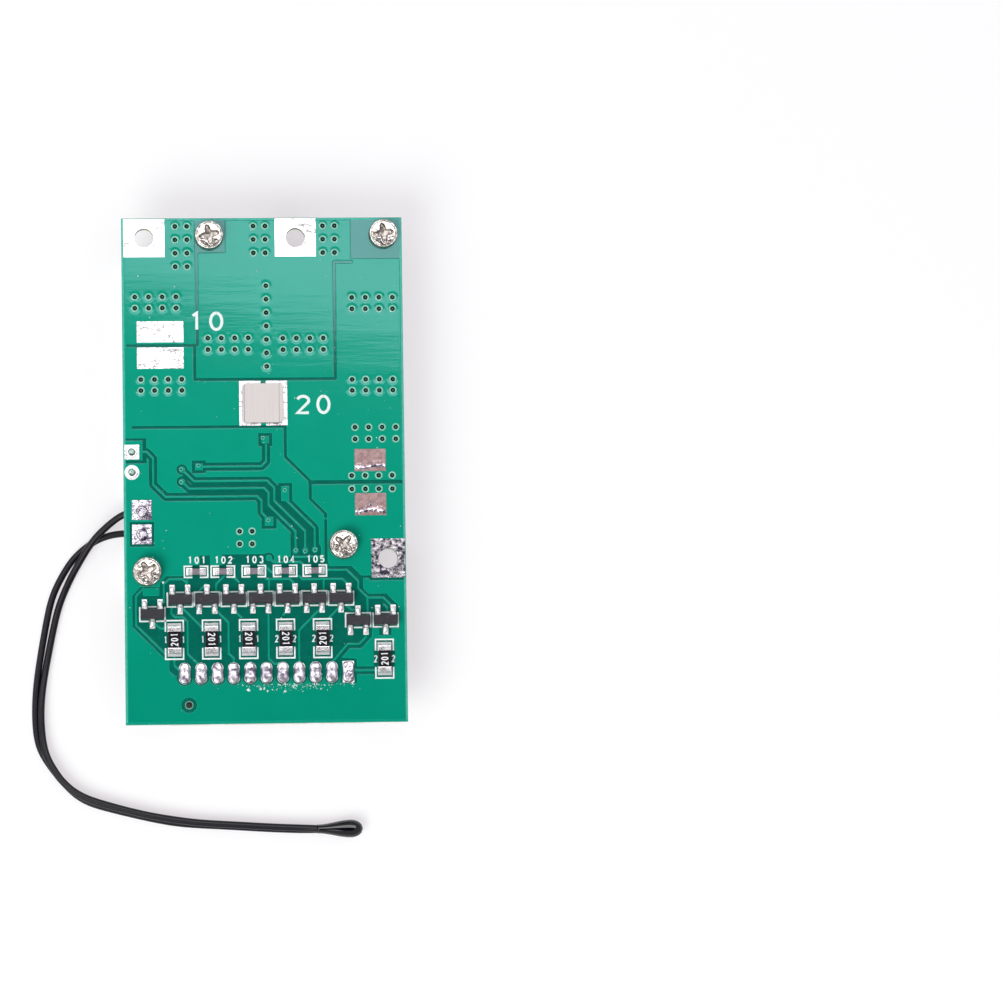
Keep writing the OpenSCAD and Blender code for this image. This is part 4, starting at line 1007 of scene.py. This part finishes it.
def legend():
    """Printed outlines round the small parts, and plain figures beside them."""
    lines = []

    def mirrored(points, x, y, flip):
        """A line in mm about (x, y), and the same one flipped."""
        for signs in (flip, (1, 1)):
            lines.append((np.array(points) * signs * mm + (x, y), PEN))

    inner = LEG_GAP / 2 / mm - 0.42
    for n, node in enumerate(numbered("transistor", 10), 1):
        x, y, _ = middle(node)
        up = 0.88 if n in PAIR_ABOVE else -0.88
        lines.append((np.array([(-inner, up), (inner, up)]) * mm + (x, y), PEN))
        mirrored([(0.45, -up), (1.53, -up), (1.53, up)], x, y, (-1, 1))
    for n, node in enumerate(numbered("chip_resistor", 5), 1):
        x, y, _ = middle(node)
        mirrored([(0.45, 0.68), (1.42, 0.68), (1.42, -0.68), (0.45, -0.68)], x, y, (-1, 1))
        lines += figures([1, 0, n], (x + 0.1 * mm, y + 1.42 * mm), PART_FIGURES)
    for n, node in enumerate(numbered("balance_resistor", 6), 1):
        x, y, _ = middle(node)
        mirrored([(-1.09, 1), (-1.09, 2.36), (1.09, 2.36), (1.09, 1)], x, y, (1, -1))
        for side in (-1.08 * mm, 1.08 * mm):
            lines += figures([2 if n > 3 else 1], (x + side, y), SIDE_FIGURES)
    lines += figures([1, 0], (-6.95 * mm, 18.35 * mm), AREA_FIGURES)
    lines += figures([2, 0], (6.1 * mm, 8 * mm), AREA_FIGURES)
    parts = ribbons(lines, BARE_Z, MASK_Z + 0.025 * mm)
    piece("legend_ink", parts, LEGEND_INK, "legend_ink", False, ["printed_legend"])


def marks():
    """Plain figures on the balance resistors, some of which are turned the other way."""
    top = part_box("balance_resistor_1")[1].z
    lines = []
    for n, node in enumerate(numbered("balance_resistor", 6), 1):
        turn = math.pi / 2 if n in (1, 5, 6) else -math.pi / 2
        lines += figures([2, 0, 1], middle(node)[:2], BODY_FIGURES, turn)
    parts = ribbons(lines, top - 0.04 * mm, top - 0.003 * mm)
    piece("resistor_figures", parts, MARK_INK, "legend_ink", False, ["resistor_marks"])


# --- residue and dust


def grains(name, x, y, z, sizes, seed, material, slot, flat):
    """Small eight-sided grains: six points on each, pushed about at random."""
    rng = np.random.default_rng(seed)
    count = len(sizes)
    star = np.array([(1, 0, 0), (0, 1, 0), (-1, 0, 0), (0, -1, 0), (0, 0, flat), (0, 0, -flat)])
    centres = np.stack([x, y, np.full(count, z)], -1)[:, None, :]
    points = star * sizes[:, None, None] * rng.uniform(0.6, 1.4, (count, 6, 1)) + centres
    base = np.array([(a, (a + 1) % 4, 4) for a in range(4)]
                    + [((a + 1) % 4, a, 5) for a in range(4)])
    faces = (base + 6 * np.arange(count)[:, None, None]).reshape(-1, 3)
    piece(name, [(points.reshape(-1, 3), faces)], material, slot, False)


def residue():
    """Dried flux along the lower ends of the joints, and stray white dust on the face."""
    rng = np.random.default_rng(7)
    count = 190
    near_middle = rng.uniform(size=count) < 0.6
    heap = np.clip(rng.normal(3.4, 3.0, count), -3.5, 11)
    x = np.where(near_middle, heap, rng.uniform(-3.2, 11.2, count)) * mm
    y = (-26.28 - np.abs(rng.normal(0, 0.42, count))) * mm
    sizes = (rng.gamma(1.6, 0.028, count) + 0.015) * mm
    grains("dried_flux", x, y, MASK_Z + 0.008 * mm, sizes, 8, FLUX, "joint_solder", 0.35)
    count = 110
    x, y = rng.uniform(left(0.6), right(0.6), count), rng.uniform(low(0.6), high(0.6), count)
    sizes = (rng.gamma(1.6, 0.018, count) + 0.02) * mm
    grains("white_dust", x, y, MASK_Z + 0.012 * mm, sizes, 9, DUST, "legend_ink", 0.6)


# --- materials in use

JACKET = moulded_paint("wire_jacket", (13, 10, 20), 0.36, 1800.0, 0.006, 0.02, gloss=0.25)
EPOXY = moulded_paint("bead_epoxy", (9, 8, 16), 0.07, 500.0, 0.004, 0.02)
MOULDED_BLACK = moulded_paint("moulded_black", (40, 38, 44), 0.5, 6000.0)
BODY_BLACK = moulded_paint("body_black", (26, 23, 34), 0.42, 5000.0, scratch=0.5, gloss=0.35)
FILM_BLACK = moulded_paint("film_black", (22, 20, 30), 0.2, scratch=0.35)
FILM_GREY = moulded_paint("film_grey", (122, 112, 122), 0.35, 2600.0)
LEG_TIN = tin_paint("leg_tin", (240, 238, 240), 0.28, (150, 146, 152), 0.4, 2400.0, 0.01)
CAP_TIN = tin_paint("cap_tin", (236, 234, 236), 0.26, (130, 126, 132), 0.6, 2600.0, 0.008)
LAND_TIN = tin_paint("land_tin", (240, 240, 240), 0.38, cover=0.1)
PAD_TIN = tin_paint("pad_tin", (253, 253, 253), 0.4, (176, 170, 174), 0.3, 700.0, 0.005, 0.5)
JUMPER_TIN = tin_paint("jumper_tin", (238, 236, 238), 0.42, (150, 144, 150), 0.6, 1100.0, 0.006,
                       0.8)
WIRE_PAD_TIN = tin_paint("wire_pad_tin", (194, 188, 194), 0.28, (54, 50, 62), 2.4, 2000.0, 0.04)
LEAD_SOLDER = tin_paint("lead_solder", (206, 200, 210), 0.26, (74, 66, 84), 1.8, 1300.0, 0.014)
JOINT_SOLDER = tin_paint("joint_solder", (206, 201, 210), 0.32, (92, 86, 100), 1.6, 1500.0, 0.012)
# Solder left on a pad by a removed link: dull rose-brown, with bright ridges
LINK_PAD = layered_paint(
    "link_pad_solder", (196, 160, 162), (0.55, 0.16), (0.35, 1.0), 1700.0, 0.1, LAND_Z + 0.02 * mm,
    LAND_Z + 0.07 * mm,
    [((156, 128, 128), (128, 100, 98), 1), ((206, 202, 214), (62, 56, 70), 1)], 0.012)
HOLE_FILL = tin_paint("hole_fill", (120, 142, 134), 0.35, (40, 66, 60), 0.9, 2800.0, 0.02)
LEGEND_INK = moulded_paint("legend_ink", (232, 255, 251), 0.6)
MARK_INK = moulded_paint("mark_ink", (244, 244, 250), 0.6)
FLUX = moulded_paint("dried_flux", (222, 250, 244), 0.6)
DUST = moulded_paint("white_dust", (232, 255, 250), 0.8)
# Mask over a small closed hole: dark inside, pale on its raised ring
TENTED = layered_paint(
    "tented_mask", (66, 180, 158), (0.15, 0.15), (0, 0), 4200.0, 0.2, MASK_Z + 0.003 * mm,
    MASK_Z + 0.009 * mm,
    [((2, 96, 82), (2, 96, 82), 1), ((48, 172, 148), (78, 190, 168), 1)], 0.003)
# Nickel plate, rougher in the recess and smoother on the head; painted shade makes it darker low on
# the head and in the recess than on the head's top
NICKEL = layered_paint(
    "nickel", (226, 220, 214), (0.4, 0.24), (1, 1), 2600.0, 0.14, MASK_Z + 0.85 * mm,
    MASK_Z + 1.25 * mm,
    [((196, 188, 182), (92, 86, 84), 1), ((228, 222, 216), (100, 92, 86), 0.85)], 0.01)
# Both brushed metals carry the painted shade along their edges.
LINK_METAL = brushed_paint("link_metal", (206, 199, 197), 0.6, 5000.0, 0.12)
ALUMINIUM = brushed_paint("plate_aluminium", (206, 208, 212), 0.38, 2600.0)
PAD_RUBBER = moulded_paint("pad_silicone", (136, 160, 182), 0.7, 2500.0)
HEADER_NYLON = moulded_paint("header_nylon", (243, 240, 232), 0.42, 2500.0)
PIN_METAL = tin_paint("pin_metal", (224, 212, 178), 0.25, cover=0.2)
CERAMIC = moulded_paint("capacitor_ceramic", (176, 146, 112), 0.4, 2500.0)
MASK = board_paint()
DIMPLE = dimple_paint()
VIA = via_paint()

# Solids of the frame that are shown as they are
FINISHES = {
    "circuit_board": MASK, "heatsink_plate": ALUMINIUM, "thermal_pad": PAD_RUBBER,
    "wire_pad_1": PAD_TIN, "wire_pad_2": PAD_TIN, "wire_pad_3": WIRE_PAD_TIN,
    "jumper_pads": JUMPER_TIN, "component_lands": LEG_TIN, "bridge_plate": LINK_METAL,
    "header_housing": HEADER_NYLON, "header_pins": PIN_METAL, "protection_chip": MOULDED_BLACK,
    **dict.fromkeys(numbered("power_transistor", 8) + numbered("balance_chip", 2), MOULDED_BLACK),
}

studio()
bead = sensor_bead()
conductor("conductor_a", ROUTE_A, "lead_wire_a")
conductor("conductor_b", ROUTE_B, "lead_wire_b")
for node, finish in FINISHES.items():
    NODES[node].data.materials.clear()
    NODES[node].data.materials.append(finish)
for build in (vias, mask_dimples, tented_spots, screws, link_pads, lead_joints, pin_joints,
              test_holes, transistors):
    build()
for name, node, count, cap, film, slot in (
        ("chip", "chip_resistor", 5, 0.36, FILM_GREY, "chip_ceramic"),
        ("balance", "balance_resistor", 6, 0.62, FILM_BLACK, "chip_ceramic"),
        ("shunt", "current_shunt", 3, 1.1, FILM_BLACK, "chip_ceramic"),
        ("capacitor", "capacitor", 2, 0.5, CERAMIC, "capacitor_ceramic")):
    capped_blocks(name, numbered(node, count), cap * mm, film, slot)
legend()
marks()
residue()
